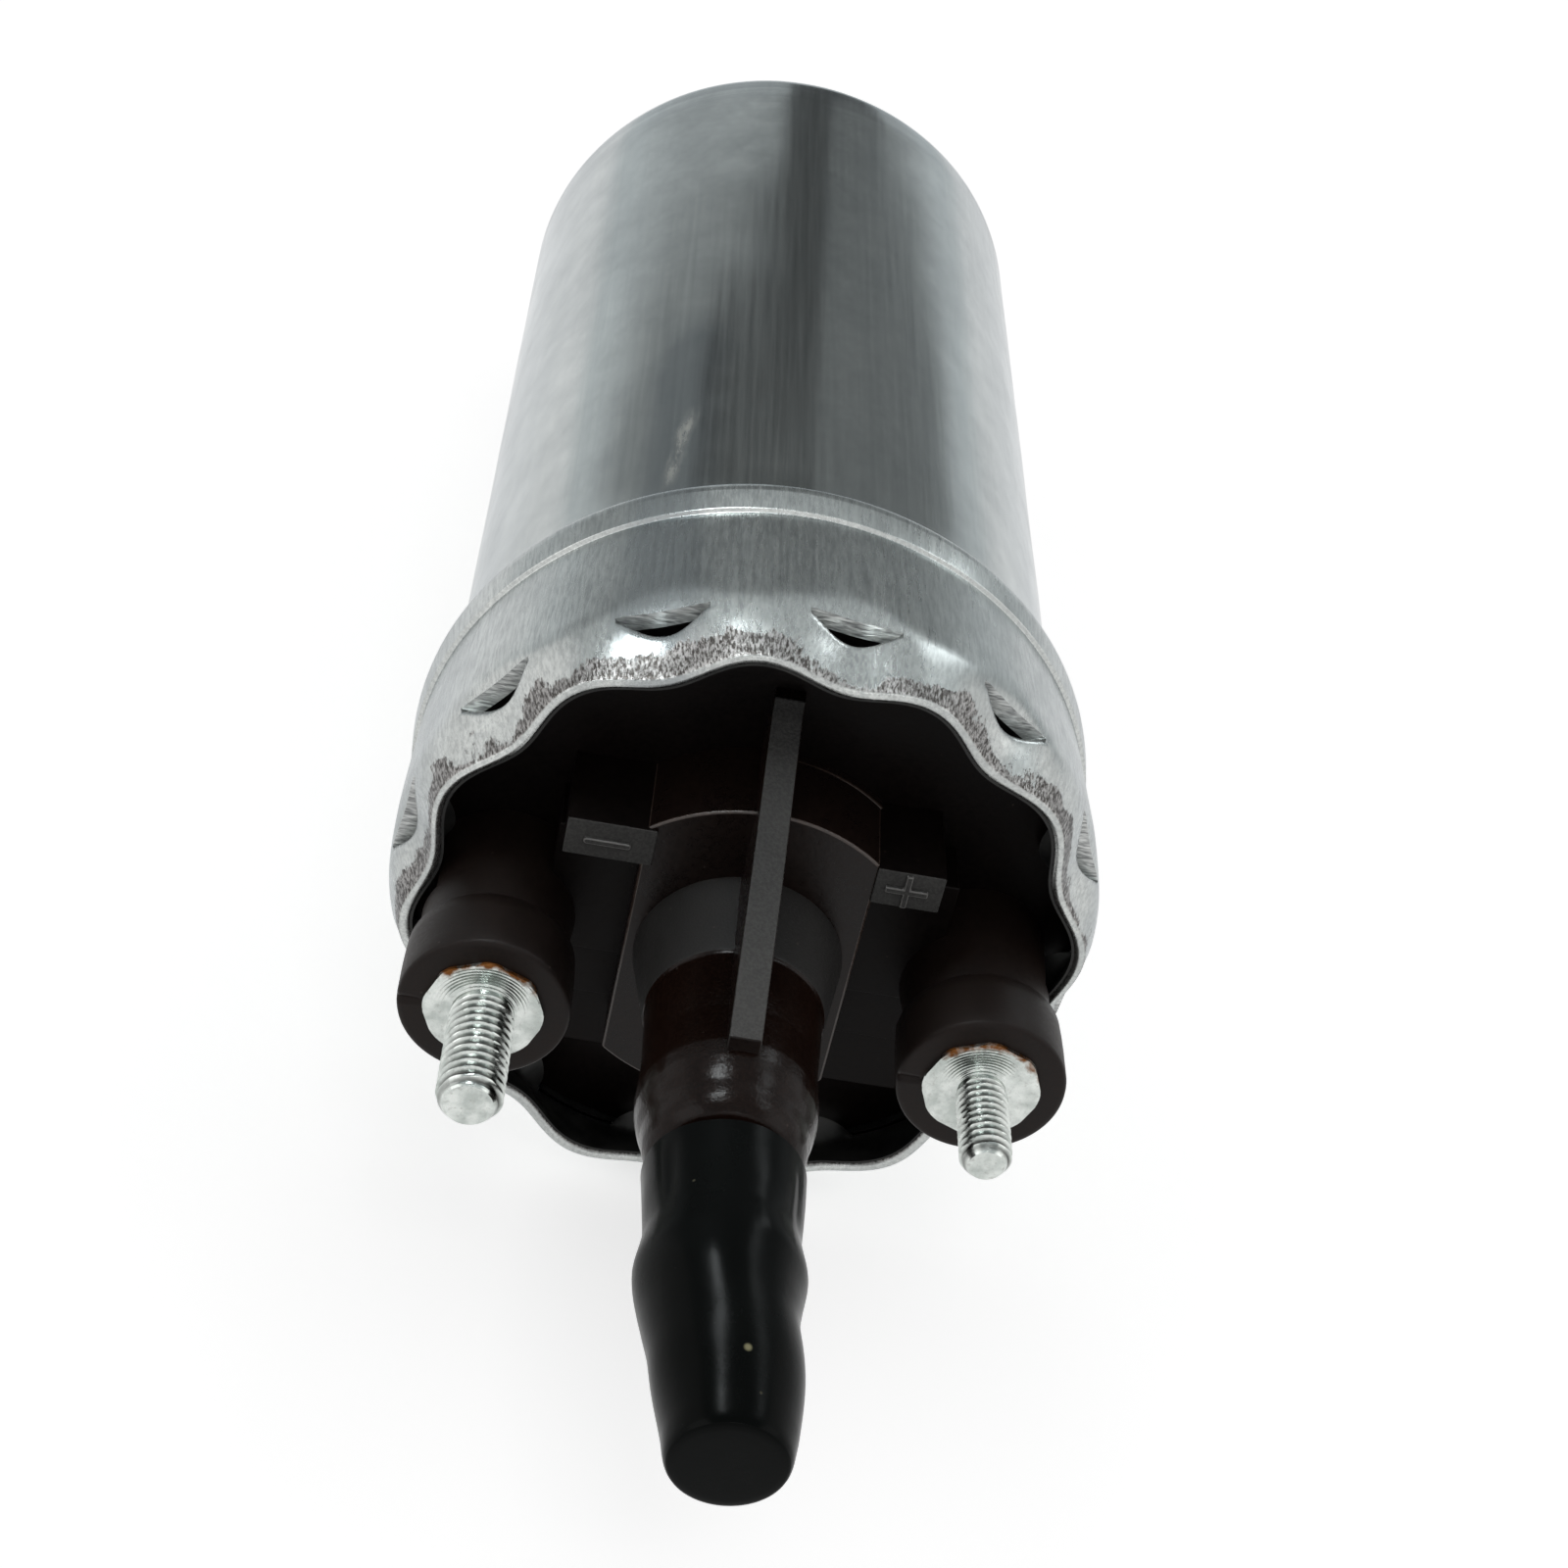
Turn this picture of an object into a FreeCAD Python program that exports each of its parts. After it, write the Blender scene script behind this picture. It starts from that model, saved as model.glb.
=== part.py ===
"""Inline electric fuel pump: a rolled aluminium can with a gerotor pump, a permanent magnet
motor and a moulded outlet cover that carries the two terminal studs and the check valve.

Everything is drawn with z along the pump axis, positive towards the outlet, y up and x to the
right, and with z = 0 near the middle of the plain can, where a clamp holds the pump. place()
then lays the pump down: the outlet points along -Y and the top along +Z. Sizes are in
millimetres.
"""
import math
import os
import FreeCAD
import Part
from FreeCAD import Vector

# Can, rolled from sheet
can_radius = 26.0
sheet = 1.2
can_back = -49.8
can_corner = 3.5
flare_start = 41.8
flare_rise = 1.3
flare_round = 1.4
flare_shift = 0.7
bead_step = 0.1
bead_end = 46.85
bead_taper = 0.2
neck_step = 0.45
neck_chamfer = 0.2
collar_step = 2.3
collar_end = 60.0
lip_end = 65.7
lip_sheet = 1.0
lip_ledge = 0.06
crimps = 12
crimp_turn = 23.2
crimp_reach = 4.1
lance_chord = 7.3
lance_height = 1.6
back_hole_radius = 9.2

# Clearances
seat_gap = 0.15
motor_gap = 0.3
air_gap = 0.7
running_gap = 0.05
spring_gap = 0.3
mesh_gap = 0.25
slide_gap = 0.1

# Outlet cover
floor_level = 59.4
disc_under = 47.0
skirt_depth = 4.6
skirt_wall = 3.6
skirt_lip = 0.6
platform_radius = 14.2
platform_level = 67.7
platform_foot = 1.0
flat_half = 8.9
root_radius = 8.1
root_end = 74.8
tube_radius = 6.7
shoulder_end = 91.2
shoulder_round = 4.6
rib_half = 1.2
rib_outer = 19.2
rib_outer_level = 61.4
rib_foot_level = 87.0
negative_pad_outer = 15.2
positive_pad_outer = 13.7
pad_low = 7.8
pad_high = 11.1
pad_level = 68.0
web_tops = [64.6, 63.8, 62.9]
web_ends = [7.8, -3.9, -9.0, -15.0]

# Terminal bosses and studs
boss_inset = 5.76
boss_y = -1.74
boss_level = 76.1
boss_radius = 6.5
boss_head = 5.9
boss_neck = 5.6
boss_foot = 6.1
stud_flange_radius = 4.6
stud_flange_flats = 4.4
stud_flange_rise = 0.4
stud_flange_depth = 1.4
stud_shank = 1.9
stud_lug_radius = 3.4
stud_lug = 1.2
stud_chamfer = 0.8
negative_stud_radius = 2.5
negative_stud_length = 10.5
positive_stud_radius = 2.0
positive_stud_length = 8.5

# Hose nipples
outlet_neck = 4.0
outlet_ridge = 4.5
outlet_bore = 2.5
outlet_ridges = [102.6, 108.0]
outlet_tip = 110.0
inlet_neck = 6.0
inlet_ridge = 6.6
inlet_bore = 4.3
inlet_tip = -69.8
ridge_length = 2.4

# Dust cap: radius at each distance along the axis, from its rim to its end
cap_bore = 4.75
cap_profile = [
    (91.9, 5.75), (97.0, 5.5), (99.4, 5.55), (103.0, 5.85), (107.0, 5.45), (111.0, 5.0),
    (114.4, 4.5), (116.2, 4.2),
]
cap_end = 116.7
cap_end_wall = 2.6

# Check valve in the outlet stub
valve_chamber = 4.6
valve_chamber_end = 84.0
valve_seat_bottom = 61.0
valve_seat_height = 3.0
valve_hole = 2.6
valve_disc_radius = 3.9
valve_stem_radius = 1.4
valve_stem_end = 77.0

# Motor
flux_wall = 3.0
flux_back = -17.8
flux_front = 26.0
magnet_wall = 3.8
magnet_back = -13.5
magnet_front = 21.5
magnet_span = 122.0
clip_wall = 0.6
stack_back = -9.0
stack_front = 17.0
slots = 8
slot_depth = 8.5
slot_width = 4.6
slot_mouth = 1.6
winding_overhang = 5.6
winding_inset = 1.6
winding_inner = 6.2
shaft_radius = 3.0
shaft_back = -33.2
shaft_front = 44.8
shaft_flat = 2.2
commutator_radius = 9.0
commutator_back = 27.2
commutator_front = 38.4
commutator_core = 6.4
riser_radius = 10.4
riser_length = 1.6
bush_radius = 5.5
front_bush_back = 40.0
front_bush_front = 45.0
washer_radius = 5.0
washer_wall = 0.8
tower_radius = 7.6

# Brushes
brush_width = 5.0
brush_length = 7.4
brush_level = 33.2
holder_wall = 1.5
holder_gap = 1.6
holder_end_wall = 1.3
holder_start = 10.9
spring_wall = 0.7
lead_radius = 0.6

# Gerotor pump
outlet_plate_front = -18.0
outlet_plate_back = -23.0
inlet_plate_front = -33.0
inlet_plate_back = -38.0
lobes = 7
lobe_circle = 11.5
lobe_radius = 3.5
eccentricity = 1.25
ring_radius = 14.6
port_inner = 6.9
port_outer = 10.3
port_span = 118.0
screw_inset = 4.3
screw_radius = 1.6
screw_head_radius = 3.0
screw_head = 2.2
screw_angles = [30.0, 150.0, 270.0]

# Inlet cover and its valve
inlet_cover_back = -48.4
inlet_collar = 9.0
inlet_chamfer = 1.6
chamber_wall = 8.5
inlet_chamber_depth = 4.4
relief_angle = 90.0
relief_bore = 1.5
relief_ball = 2.2
relief_pocket = 2.5
relief_pocket_end = -47.2
strainer_outer = 4.0
strainer_wall = 0.5
strainer_front = -53.8
strainer_back = -67.8
ring_section = 1.1
inlet_seal_circle = 12.5
drain_half = 1.0
drain_depth = 3.4

# Values that follow from the ones above
can_inner = can_radius - sheet
collar_radius = can_radius + collar_step
collar_inner = collar_radius - sheet
crimp_inner = collar_radius - crimp_reach
bead_radius = collar_radius + bead_step
neck_radius = collar_radius - neck_step
flare_end = flare_start + flare_rise
skirt_bottom = flare_start - skirt_depth
groove_back = skirt_bottom + skirt_lip
cover_radius = collar_inner - seat_gap
skirt_radius = can_inner - seat_gap
boss_x = can_inner - boss_inset
holder_end = can_inner - holder_gap
cap_z0 = cap_profile[0][0]
inner_teeth = lobes - 1
flux_radius = can_inner - motor_gap
magnet_outer = flux_radius - flux_wall
magnet_inner = magnet_outer - magnet_wall
stack_radius = magnet_inner - air_gap
winding_outer = stack_radius - winding_inset
plate_radius = can_inner - motor_gap
screw_circle = plate_radius - screw_inset
inlet_chamber_radius = plate_radius - chamber_wall
inlet_seal_section = 0.9 * ring_section


def cyl(radius, low, high, x=0.0, y=0.0):
    """Round bar along z."""
    return Part.makeCylinder(radius, high - low, Vector(x, y, low))


def tube(outer, inner, low, high, x=0.0, y=0.0):
    """Round sleeve along z."""
    return cyl(outer, low, high, x, y).cut(cyl(inner, low - 1, high + 1, x, y))


def box(x0, x1, y0, y1, z0, z1):
    """Block between three pairs of limits."""
    return Part.makeBox(x1 - x0, y1 - y0, z1 - z0, Vector(x0, y0, z0))


def turned(points):
    """Solid of revolution about z from (radius, z) corners."""
    corners = [Vector(r, 0, z) for r, z in points]
    face = Part.Face(Part.makePolygon(corners + corners[:1]))
    return face.revolve(Vector(0, 0, 0), Vector(0, 0, 1), 360)


def seal_ring(radius, section, level):
    """Seal ring about z, with the flattened section that it has when pressed in its groove."""
    flat = section * 0.55
    corners = [
        (section, -flat), (section, flat), (flat, section), (-flat, section),
        (-section, flat), (-section, -flat), (-flat, -section), (flat, -section),
    ]
    return turned([(radius + across, level + up) for across, up in corners])


def around(shape, degrees):
    """Copy of a shape turned about the pump axis."""
    copy = shape.copy()
    copy.rotate(Vector(0, 0, 0), Vector(0, 0, 1), degrees)
    return copy


def mirrored(shape):
    """Copy of a shape on the other side of the yz plane."""
    return shape.mirror(Vector(0, 0, 0), Vector(1, 0, 0))


def polar(radius, degrees):
    """x and y of a point given by radius and angle."""
    angle = math.radians(degrees)
    return radius * math.cos(angle), radius * math.sin(angle)


def sector(outer, inner, low, high, start, end):
    """Part of a sleeve between two angles, less than half a turn."""
    far = 2 * outer
    a = polar(far, start)
    b = polar(far, end)
    middle = polar(far, (start + end) / 2)
    corners = [Vector(0, 0, low), Vector(*a, low), Vector(*middle, low), Vector(*b, low)]
    wedge = Part.Face(Part.makePolygon(corners + corners[:1])).extrude(Vector(0, 0, high - low))
    return tube(outer, inner, low, high).common(wedge)


def rounded(shape, radius, chosen):
    """Shape with the edges picked by chosen(edge) rounded."""
    edges = [edge for edge in shape.Edges if chosen(edge)]
    return shape.makeFillet(radius, edges)


def is_circle(edge, radius, level):
    """True for a full circle about z of this radius and level."""
    curve = edge.Curve
    if not isinstance(curve, Part.Circle) or not edge.Closed:
        return False
    return abs(curve.Radius - radius) < 0.01 and abs(curve.Center.z - level) < 0.01


# Can
def lip_wire(level, lobe, valley, sharpness, inset):
    """Closed scalloped outline of the rolled lip at one level, one curve for each crimp."""
    steps = 8
    pitch = 360.0 / crimps
    curves = []
    for number in range(crimps):
        start = crimp_turn + number * pitch
        points = []
        for step in range(steps + 1):
            wave = (1 + math.cos(2 * math.pi * step / steps)) / 2
            radius = lobe - (lobe - valley) * wave ** sharpness - inset
            points.append(Vector(*polar(radius, start + pitch * step / steps), level))
        ends = [Vector(*polar(1.0, start + turn + 90.0), 0) for turn in (0.0, pitch)]
        curve = Part.BSplineCurve()
        curve.interpolate(Points=points, InitialTangent=ends[0], FinalTangent=ends[1])
        curves.append(curve.toShape())
    return Part.Wire(curves)


def lip_solid(inset, low, high):
    """Everything inside the rolled lip, drawn in by inset."""
    levels = [
        (low, collar_radius - lip_ledge, collar_radius - lip_ledge, 1.0),
        (low + 1.8, collar_radius - 0.4, collar_radius - 1.6, 2.0),
        (low + 3.6, collar_radius - 0.95, collar_radius - 2.4, 1.4),
        (high, collar_radius - 1.45, crimp_inner + lip_sheet, 1.0),
    ]
    wires = [lip_wire(z, lobe, valley, sharp, inset) for z, lobe, valley, sharp in levels]
    return Part.makeLoft(wires, True, True)


def housing_can():
    """Deep can with a flared collar, its rolled scalloped lip and twelve lanced windows."""
    outer = turned([
        (0, can_back), (can_radius, can_back), (can_radius, flare_start),
        (bead_radius, flare_end), (bead_radius, flare_end + flare_rise),
        (bead_radius - bead_taper, bead_end), (neck_radius, bead_end + neck_chamfer),
        (collar_radius, collar_end), (0, collar_end),
    ])
    outer = rounded(outer, can_corner, lambda edge: is_circle(edge, can_radius, can_back))
    outer = rounded(
        outer, flare_round,
        lambda edge: is_circle(edge, can_radius, flare_start)
        or is_circle(edge, bead_radius, flare_end))
    foot = flare_start + flare_shift
    top = flare_end + flare_shift
    inner = turned([
        (0, can_back + sheet), (can_inner, can_back + sheet), (can_inner, foot),
        (collar_inner, top), (collar_inner, collar_end), (0, collar_end),
    ])
    inner = rounded(
        inner, can_corner - sheet, lambda edge: is_circle(edge, can_inner, can_back + sheet))
    inner = rounded(
        inner, flare_round + sheet, lambda edge: is_circle(edge, can_inner, foot))
    inner = rounded(
        inner, flare_round - sheet, lambda edge: is_circle(edge, collar_inner, top))
    shell = outer.cut(inner)
    lip = lip_solid(0, collar_end, lip_end).cut(lip_solid(lip_sheet, collar_end, lip_end))
    can = shell.fuse(lip).cut(cyl(back_hole_radius, can_back - 1, can_back + 3))
    half = lance_chord / 2
    bulge = (half ** 2 + lance_height ** 2) / (2 * lance_height)
    moon = Part.makeCylinder(
        bulge, 6.0, Vector(crimp_inner, 0, collar_end + 0.3 + lance_height - bulge),
        Vector(1, 0, 0))
    window = moon.common(
        box(crimp_inner, collar_radius + 2, -half, half, collar_end + 0.3, collar_end + 3))
    for number in range(crimps):
        can = can.cut(around(window, crimp_turn + number * 360.0 / crimps))
    return can


# Outlet cover
def cover_disc():
    """Flange, spigot and skirt that close the can."""
    seat = flare_shift + 3 * seat_gap
    return turned([
        (0, disc_under), (skirt_radius - skirt_wall, disc_under),
        (skirt_radius - skirt_wall, skirt_bottom), (skirt_radius, skirt_bottom),
        (skirt_radius, flare_start + seat), (cover_radius, flare_end + seat),
        (cover_radius, floor_level), (0, floor_level),
    ])


def seal_groove():
    """Groove of the cover's seal ring."""
    floor = skirt_radius - 2 * ring_section + slide_gap
    return tube(can_radius, floor, groove_back, groove_back + 2.2 * ring_section)


def cover_platform():
    """Round platform with two flats, and the low full disc that it stands on."""
    platform = cyl(platform_radius, disc_under, platform_level)
    platform = platform.common(box(
        -flat_half, flat_half, -platform_radius, platform_radius, disc_under, platform_level))
    return platform.fuse(cyl(platform_radius, disc_under, floor_level + platform_foot))


def cover_stub():
    """Tapered root, tube, rounded shoulder and the barbed hose nipple."""
    stub = turned([
        (0, disc_under), (root_radius, disc_under), (root_radius, platform_level),
        (tube_radius + 0.15, root_end), (tube_radius, root_end + 0.3),
        (tube_radius, shoulder_end), (0, shoulder_end),
    ])
    stub = rounded(stub, shoulder_round, lambda edge: is_circle(edge, tube_radius, shoulder_end))
    return stub.fuse(nipple(outlet_neck, outlet_ridge, shoulder_end - 1, outlet_tip, outlet_ridges))


def nipple(neck, ridge, start, tip, ridges):
    """Hose nipple with saw-tooth ridges, each sharp side towards the root."""
    way = 1 if tip > start else -1
    points = [(0, start), (neck, start)]
    for level in ridges:
        points += [(neck, level), (ridge, level), (ridge, level + 0.5 * way)]
        points += [(neck, level + ridge_length * way)]
    points = points[:-1] + [(neck - 0.4, tip), (0, tip)]
    return turned(points)


def cover_rib():
    """Upright gusset from the rim of the floor to the end of the tube."""
    foot = tube_radius + 0.2
    corners = [
        Vector(0, 0, disc_under), Vector(0, rib_outer + 0.8, disc_under),
        Vector(0, rib_outer + 0.8, rib_outer_level - 0.6), Vector(0, rib_outer, rib_outer_level),
        Vector(0, foot + 1.8, rib_foot_level), Vector(0, foot - 1.5, rib_foot_level + 0.6),
        Vector(0, 0, rib_foot_level - 6),
    ]
    face = Part.Face(Part.makePolygon([c - Vector(rib_half, 0, 0) for c in corners + corners[:1]]))
    return face.extrude(Vector(2 * rib_half, 0, 0))


def terminal_boss():
    """Round boss with a wider head, on the right hand side."""
    boss = turned([
        (0, disc_under), (boss_foot, disc_under), (boss_foot, floor_level),
        (boss_neck, boss_level - boss_head - 0.4), (boss_radius - 0.1, boss_level - boss_head),
        (boss_radius, boss_level - 0.3), (boss_radius - 0.3, boss_level), (0, boss_level),
    ])
    boss.translate(Vector(boss_x, boss_y, 0))
    return boss


def side_web(pad_outer):
    """Pad beside the platform's flat and the low stepped web below it, on the right."""
    web = box(flat_half - 0.5, pad_outer, pad_low, pad_high, disc_under, pad_level)
    for top, high, low in zip(web_tops, web_ends[:-1], web_ends[1:]):
        web = web.fuse(box(flat_half - 0.5, boss_x - 3.4, low, high, disc_under, top))
    return web


def lip_relief():
    """Space that the rolled lip needs beside the bosses."""
    return tube(2 * can_radius, crimp_inner - seat_gap, floor_level, lip_end + 0.6)


def brush_holder():
    """Square guide for one brush, hanging from the cover on the right hand side."""
    half = brush_width / 2 + slide_gap
    outside = half + holder_wall
    block = box(holder_start, holder_end, -outside, outside, brush_level - outside, disc_under + 1)
    bore = box(0, holder_end - holder_end_wall, -half, half, brush_level - half, brush_level + half)
    slot = box(
        holder_start + 1.6, holder_end - holder_end_wall - 0.4, -outside - 1, -half + 0.1,
        brush_level - 1.0, brush_level + 1.0)
    return block.cut(bore).cut(slot)


def outlet_cover():
    """Moulded cover with everything that stands on it, and the bores through it."""
    cover = cover_disc().fuse([cover_platform(), cover_stub(), cover_rib()])
    boss = terminal_boss()
    webs = [side_web(positive_pad_outer), mirrored(side_web(negative_pad_outer))]
    holder = brush_holder()
    tower = cyl(tower_radius, front_bush_back - 0.2, disc_under + 1)
    cover = cover.fuse([boss, mirrored(boss), holder, mirrored(holder), tower] + webs)
    cover = cover.cut([seal_groove(), lip_relief()])
    cover = cover.cut(cyl(bush_radius + running_gap, front_bush_back - 1, front_bush_front + 2.2))
    cover = cover.cut(cyl(valve_hole, front_bush_front, valve_seat_bottom + 1))
    cover = cover.cut(cyl(valve_chamber, valve_seat_bottom, valve_chamber_end))
    cover = cover.cut(cyl(outlet_bore, valve_chamber_end - 1, outlet_tip + 1))
    port = Part.makeCylinder(1.3, 20, Vector(0, -10, front_bush_front + 1.1), Vector(0, 1, 0))
    cover = cover.cut(port)
    for stud in studs():
        cover = cover.cut(stud)
    return cover.removeSplitter()


def stud(radius, length):
    """Terminal stud on the right: lug under the cover, shank, flange and threaded end."""
    tip = boss_level + length
    profile = turned([
        (0, disc_under - stud_lug), (stud_lug_radius, disc_under - stud_lug),
        (stud_lug_radius, disc_under), (stud_shank, disc_under),
        (stud_shank, boss_level - stud_flange_depth),
        (stud_flange_radius, boss_level - stud_flange_depth),
        (stud_flange_radius, boss_level + stud_flange_rise - 0.15),
        (stud_flange_radius - 0.3, boss_level + stud_flange_rise),
        (radius, boss_level + stud_flange_rise), (radius, tip - stud_chamfer),
        (radius - stud_chamfer * 0.75, tip - 0.15), (0, tip),
    ])
    flats = cyl(stud_shank + 2, disc_under - 5, boss_level - stud_flange_depth)
    octagon = [Vector(*polar(stud_flange_flats / math.cos(math.pi / 8), 45.0 * n + 22.5), 0)
               for n in range(8)]
    prism = Part.Face(Part.makePolygon(octagon + octagon[:1])).extrude(Vector(0, 0, 200))
    body = profile.common(prism.fuse(flats))
    body.translate(Vector(boss_x, boss_y, 0))
    return body


def studs():
    """Negative stud on the left and positive stud on the right."""
    negative = mirrored(stud(negative_stud_radius, negative_stud_length))
    positive = stud(positive_stud_radius, positive_stud_length)
    return negative, positive


# Outlet valve and dust cap
def check_valve_seat():
    """Ring pressed into the bottom of the valve chamber."""
    top = valve_seat_bottom + valve_seat_height
    seat = cyl(valve_chamber - running_gap, valve_seat_bottom, top)
    seat = seat.cut(cyl(valve_hole, valve_seat_bottom - 1, top + 1))
    return seat.cut(Part.makeCone(valve_hole, valve_hole + 1.0, 1.0, Vector(0, 0, top - 1.0)))


def check_valve():
    """Poppet with a cone that closes the seat and a stem inside the spring."""
    top = valve_seat_bottom + valve_seat_height
    return turned([
        (0, top - 1.4), (1.6, top - 1.4), (valve_hole + 0.6, top + 0.2), (valve_disc_radius, top + 0.2),
        (valve_disc_radius, top + 1.4), (valve_stem_radius, top + 1.4),
        (valve_stem_radius, valve_stem_end), (0, valve_stem_end),
    ])


def check_valve_spring():
    """Spring between the poppet and the end of the chamber."""
    low = valve_seat_bottom + valve_seat_height + 1.4 + running_gap
    outer = valve_chamber - spring_gap
    return tube(outer, outer - spring_wall, low, valve_chamber_end - running_gap)


def dust_cap():
    """Soft cap over the outlet nipple, swollen where the ridge stands under it."""
    points = [Vector(r, 0, z) for z, r in cap_profile]
    curve = Part.BSplineCurve()
    curve.interpolate(points)
    end = Vector(points[-1].x - 0.5, 0, cap_end)
    inner = cap_end - cap_end_wall
    corners = [
        end, Vector(0, 0, cap_end), Vector(0, 0, inner), Vector(cap_bore, 0, inner),
        Vector(cap_bore, 0, cap_z0), points[0],
    ]
    edges = [curve.toShape(), Part.LineSegment(points[-1], end).toShape()]
    edges += [Part.LineSegment(a, b).toShape() for a, b in zip(corners, corners[1:])]
    return Part.Face(Part.Wire(edges)).revolve(Vector(0, 0, 0), Vector(0, 0, 1), 360)


# Motor
def flux_ring():
    """Steel tube that carries the magnets."""
    return tube(flux_radius, flux_radius - flux_wall, flux_back, flux_front)


def magnet():
    """Magnet shell on the right hand side."""
    half = magnet_span / 2
    outer = magnet_outer - running_gap
    return sector(outer, magnet_inner, magnet_back, magnet_front, -half, half)


def magnet_clip():
    """Sprung clip that holds the two magnets apart, at the top."""
    half = 90 - magnet_span / 2 - 1.0
    ear = 1.6
    outer = magnet_outer - running_gap
    low = magnet_back + 2
    high = magnet_front - 2
    clip = sector(outer, outer - clip_wall, low, high, 90 - half, 90 + half)
    for start in (90 - half, 90 + half - ear):
        clip = clip.fuse(sector(outer, magnet_inner + 0.5, low, high, start, start + ear))
    return clip


def armature_slot(grow):
    """Winding slot at angle zero, made larger by grow all round."""
    depth = stack_radius - 1.4
    half = slot_width / 2 + grow
    pocket = box(
        stack_radius - slot_depth - grow, depth + grow, -half, half,
        stack_back - 1, stack_front + 1)
    return pocket


def lamination_stack():
    """Slotted iron core of the armature."""
    stack = tube(stack_radius, shaft_radius + running_gap, stack_back, stack_front)
    pocket = armature_slot(0.0)
    mouth = box(
        stack_radius - 3, stack_radius + 1, -slot_mouth / 2, slot_mouth / 2,
        stack_back - 1, stack_front + 1)
    for number in range(slots):
        stack = stack.cut(around(pocket.fuse(mouth), number * 360.0 / slots))
    return stack


def armature_winding():
    """Copper in the slots, joined by the two end windings."""
    front = tube(winding_outer, winding_inner, stack_front + 0.3, stack_front + winding_overhang)
    back = tube(winding_outer - 1.4, winding_inner, stack_back - 3.6, stack_back - 0.3)
    front = rounded(
        front, 2.2,
        lambda edge: is_circle(edge, winding_outer, stack_front + winding_overhang))
    winding = front.fuse(back)
    bar = armature_slot(-0.25).common(box(
        0, stack_radius, -slot_width, slot_width, stack_back - 0.5, stack_front + 0.5))
    for number in range(slots):
        winding = winding.fuse(around(bar, number * 360.0 / slots))
    return winding.removeSplitter()


def commutator_bars():
    """Eight copper bars with their risers."""
    gap = 2.5
    pitch = 360.0 / slots
    bars = []
    for number in range(slots):
        start = number * pitch + gap
        end = (number + 1) * pitch - gap
        bar = sector(
            commutator_radius, commutator_core, commutator_back, commutator_front, start, end)
        riser = sector(
            riser_radius, commutator_core, commutator_back, commutator_back + riser_length,
            start, end)
        bars.append(bar.fuse(riser).removeSplitter())
    return Part.makeCompound(bars)


def commutator_hub():
    """Moulded hub that carries the copper bars."""
    return tube(
        commutator_core, shaft_radius + running_gap, commutator_back - 0.6, commutator_front + 0.2)


def armature_shaft():
    """Shaft with the flat that drives the inner rotor."""
    shaft = cyl(shaft_radius, shaft_back, shaft_front)
    flat = box(shaft_flat, 5, -5, 5, shaft_back - 1, outlet_plate_back + 0.4)
    return shaft.cut(flat)


def bush(low, high):
    """Sintered bearing bush for the shaft."""
    return tube(bush_radius, shaft_radius + running_gap, low, high)


def thrust_washer(low):
    """Washer that takes the end float of the shaft."""
    return tube(washer_radius, shaft_radius + running_gap, low, low + washer_wall)


# Brushes
def brush():
    """Carbon brush on the right hand side, its end worn to the commutator's curve."""
    half = brush_width / 2
    back = commutator_radius + brush_length
    block = box(commutator_radius - 1, back, -half, half, brush_level - half, brush_level + half)
    return block.cut(cyl(commutator_radius + seat_gap, brush_level - 5, brush_level + 5))


def brush_spring():
    """Spring that pushes the brush inwards."""
    start = commutator_radius + brush_length + running_gap
    end = holder_end - holder_end_wall - running_gap
    outer = brush_width / 2 - spring_gap / 2
    axis = Vector(1, 0, 0)
    base = Vector(start, 0, brush_level)
    sleeve = Part.makeCylinder(outer, end - start, base, axis)
    return sleeve.cut(Part.makeCylinder(outer - spring_wall, end - start, base, axis))


def brush_lead():
    """Braided lead from the terminal lug to the side of the brush, on the right."""
    side = -(brush_width / 2 + slide_gap + holder_wall + lead_radius + 0.3)
    top = disc_under - stud_lug - running_gap
    entry = commutator_radius + brush_length - 2.4
    bend = 1.2
    z = brush_level
    a = Vector(boss_x, side, top)
    b = Vector(boss_x, side, z + bend)
    c = Vector(boss_x - bend, side, z)
    d = Vector(entry + bend, side, z)
    e = Vector(entry, side + bend, z)
    f = Vector(entry, -brush_width / 2 - running_gap, z)
    turn = bend * (1 - math.sqrt(0.5))
    first = Vector(boss_x - turn, side, z + turn)
    second = Vector(entry + turn, side + turn, z)
    path = Part.Wire([
        Part.LineSegment(a, b).toShape(), Part.Arc(b, first, c).toShape(),
        Part.LineSegment(c, d).toShape(), Part.Arc(d, second, e).toShape(),
        Part.LineSegment(e, f).toShape(),
    ])
    section = Part.Wire([Part.Circle(a, Vector(0, 0, 1), lead_radius).toShape()])
    return path.makePipeShell([section], True, False)


# Gerotor
def rotor_point(turn):
    """Point of the inner rotor's profile, which rolls inside the round lobes."""
    reach = lobe_radius + mesh_gap / 2
    swing = math.atan2(
        math.sin((1 - lobes) * turn),
        lobe_circle / (eccentricity * lobes) - math.cos((1 - lobes) * turn))
    x = lobe_circle * math.cos(turn) - reach * math.cos(turn + swing)
    y = -lobe_circle * math.sin(turn) + reach * math.sin(turn + swing)
    x -= eccentricity * math.cos(lobes * turn)
    y += eccentricity * math.sin(lobes * turn)
    return Vector(x, y, 0)


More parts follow.
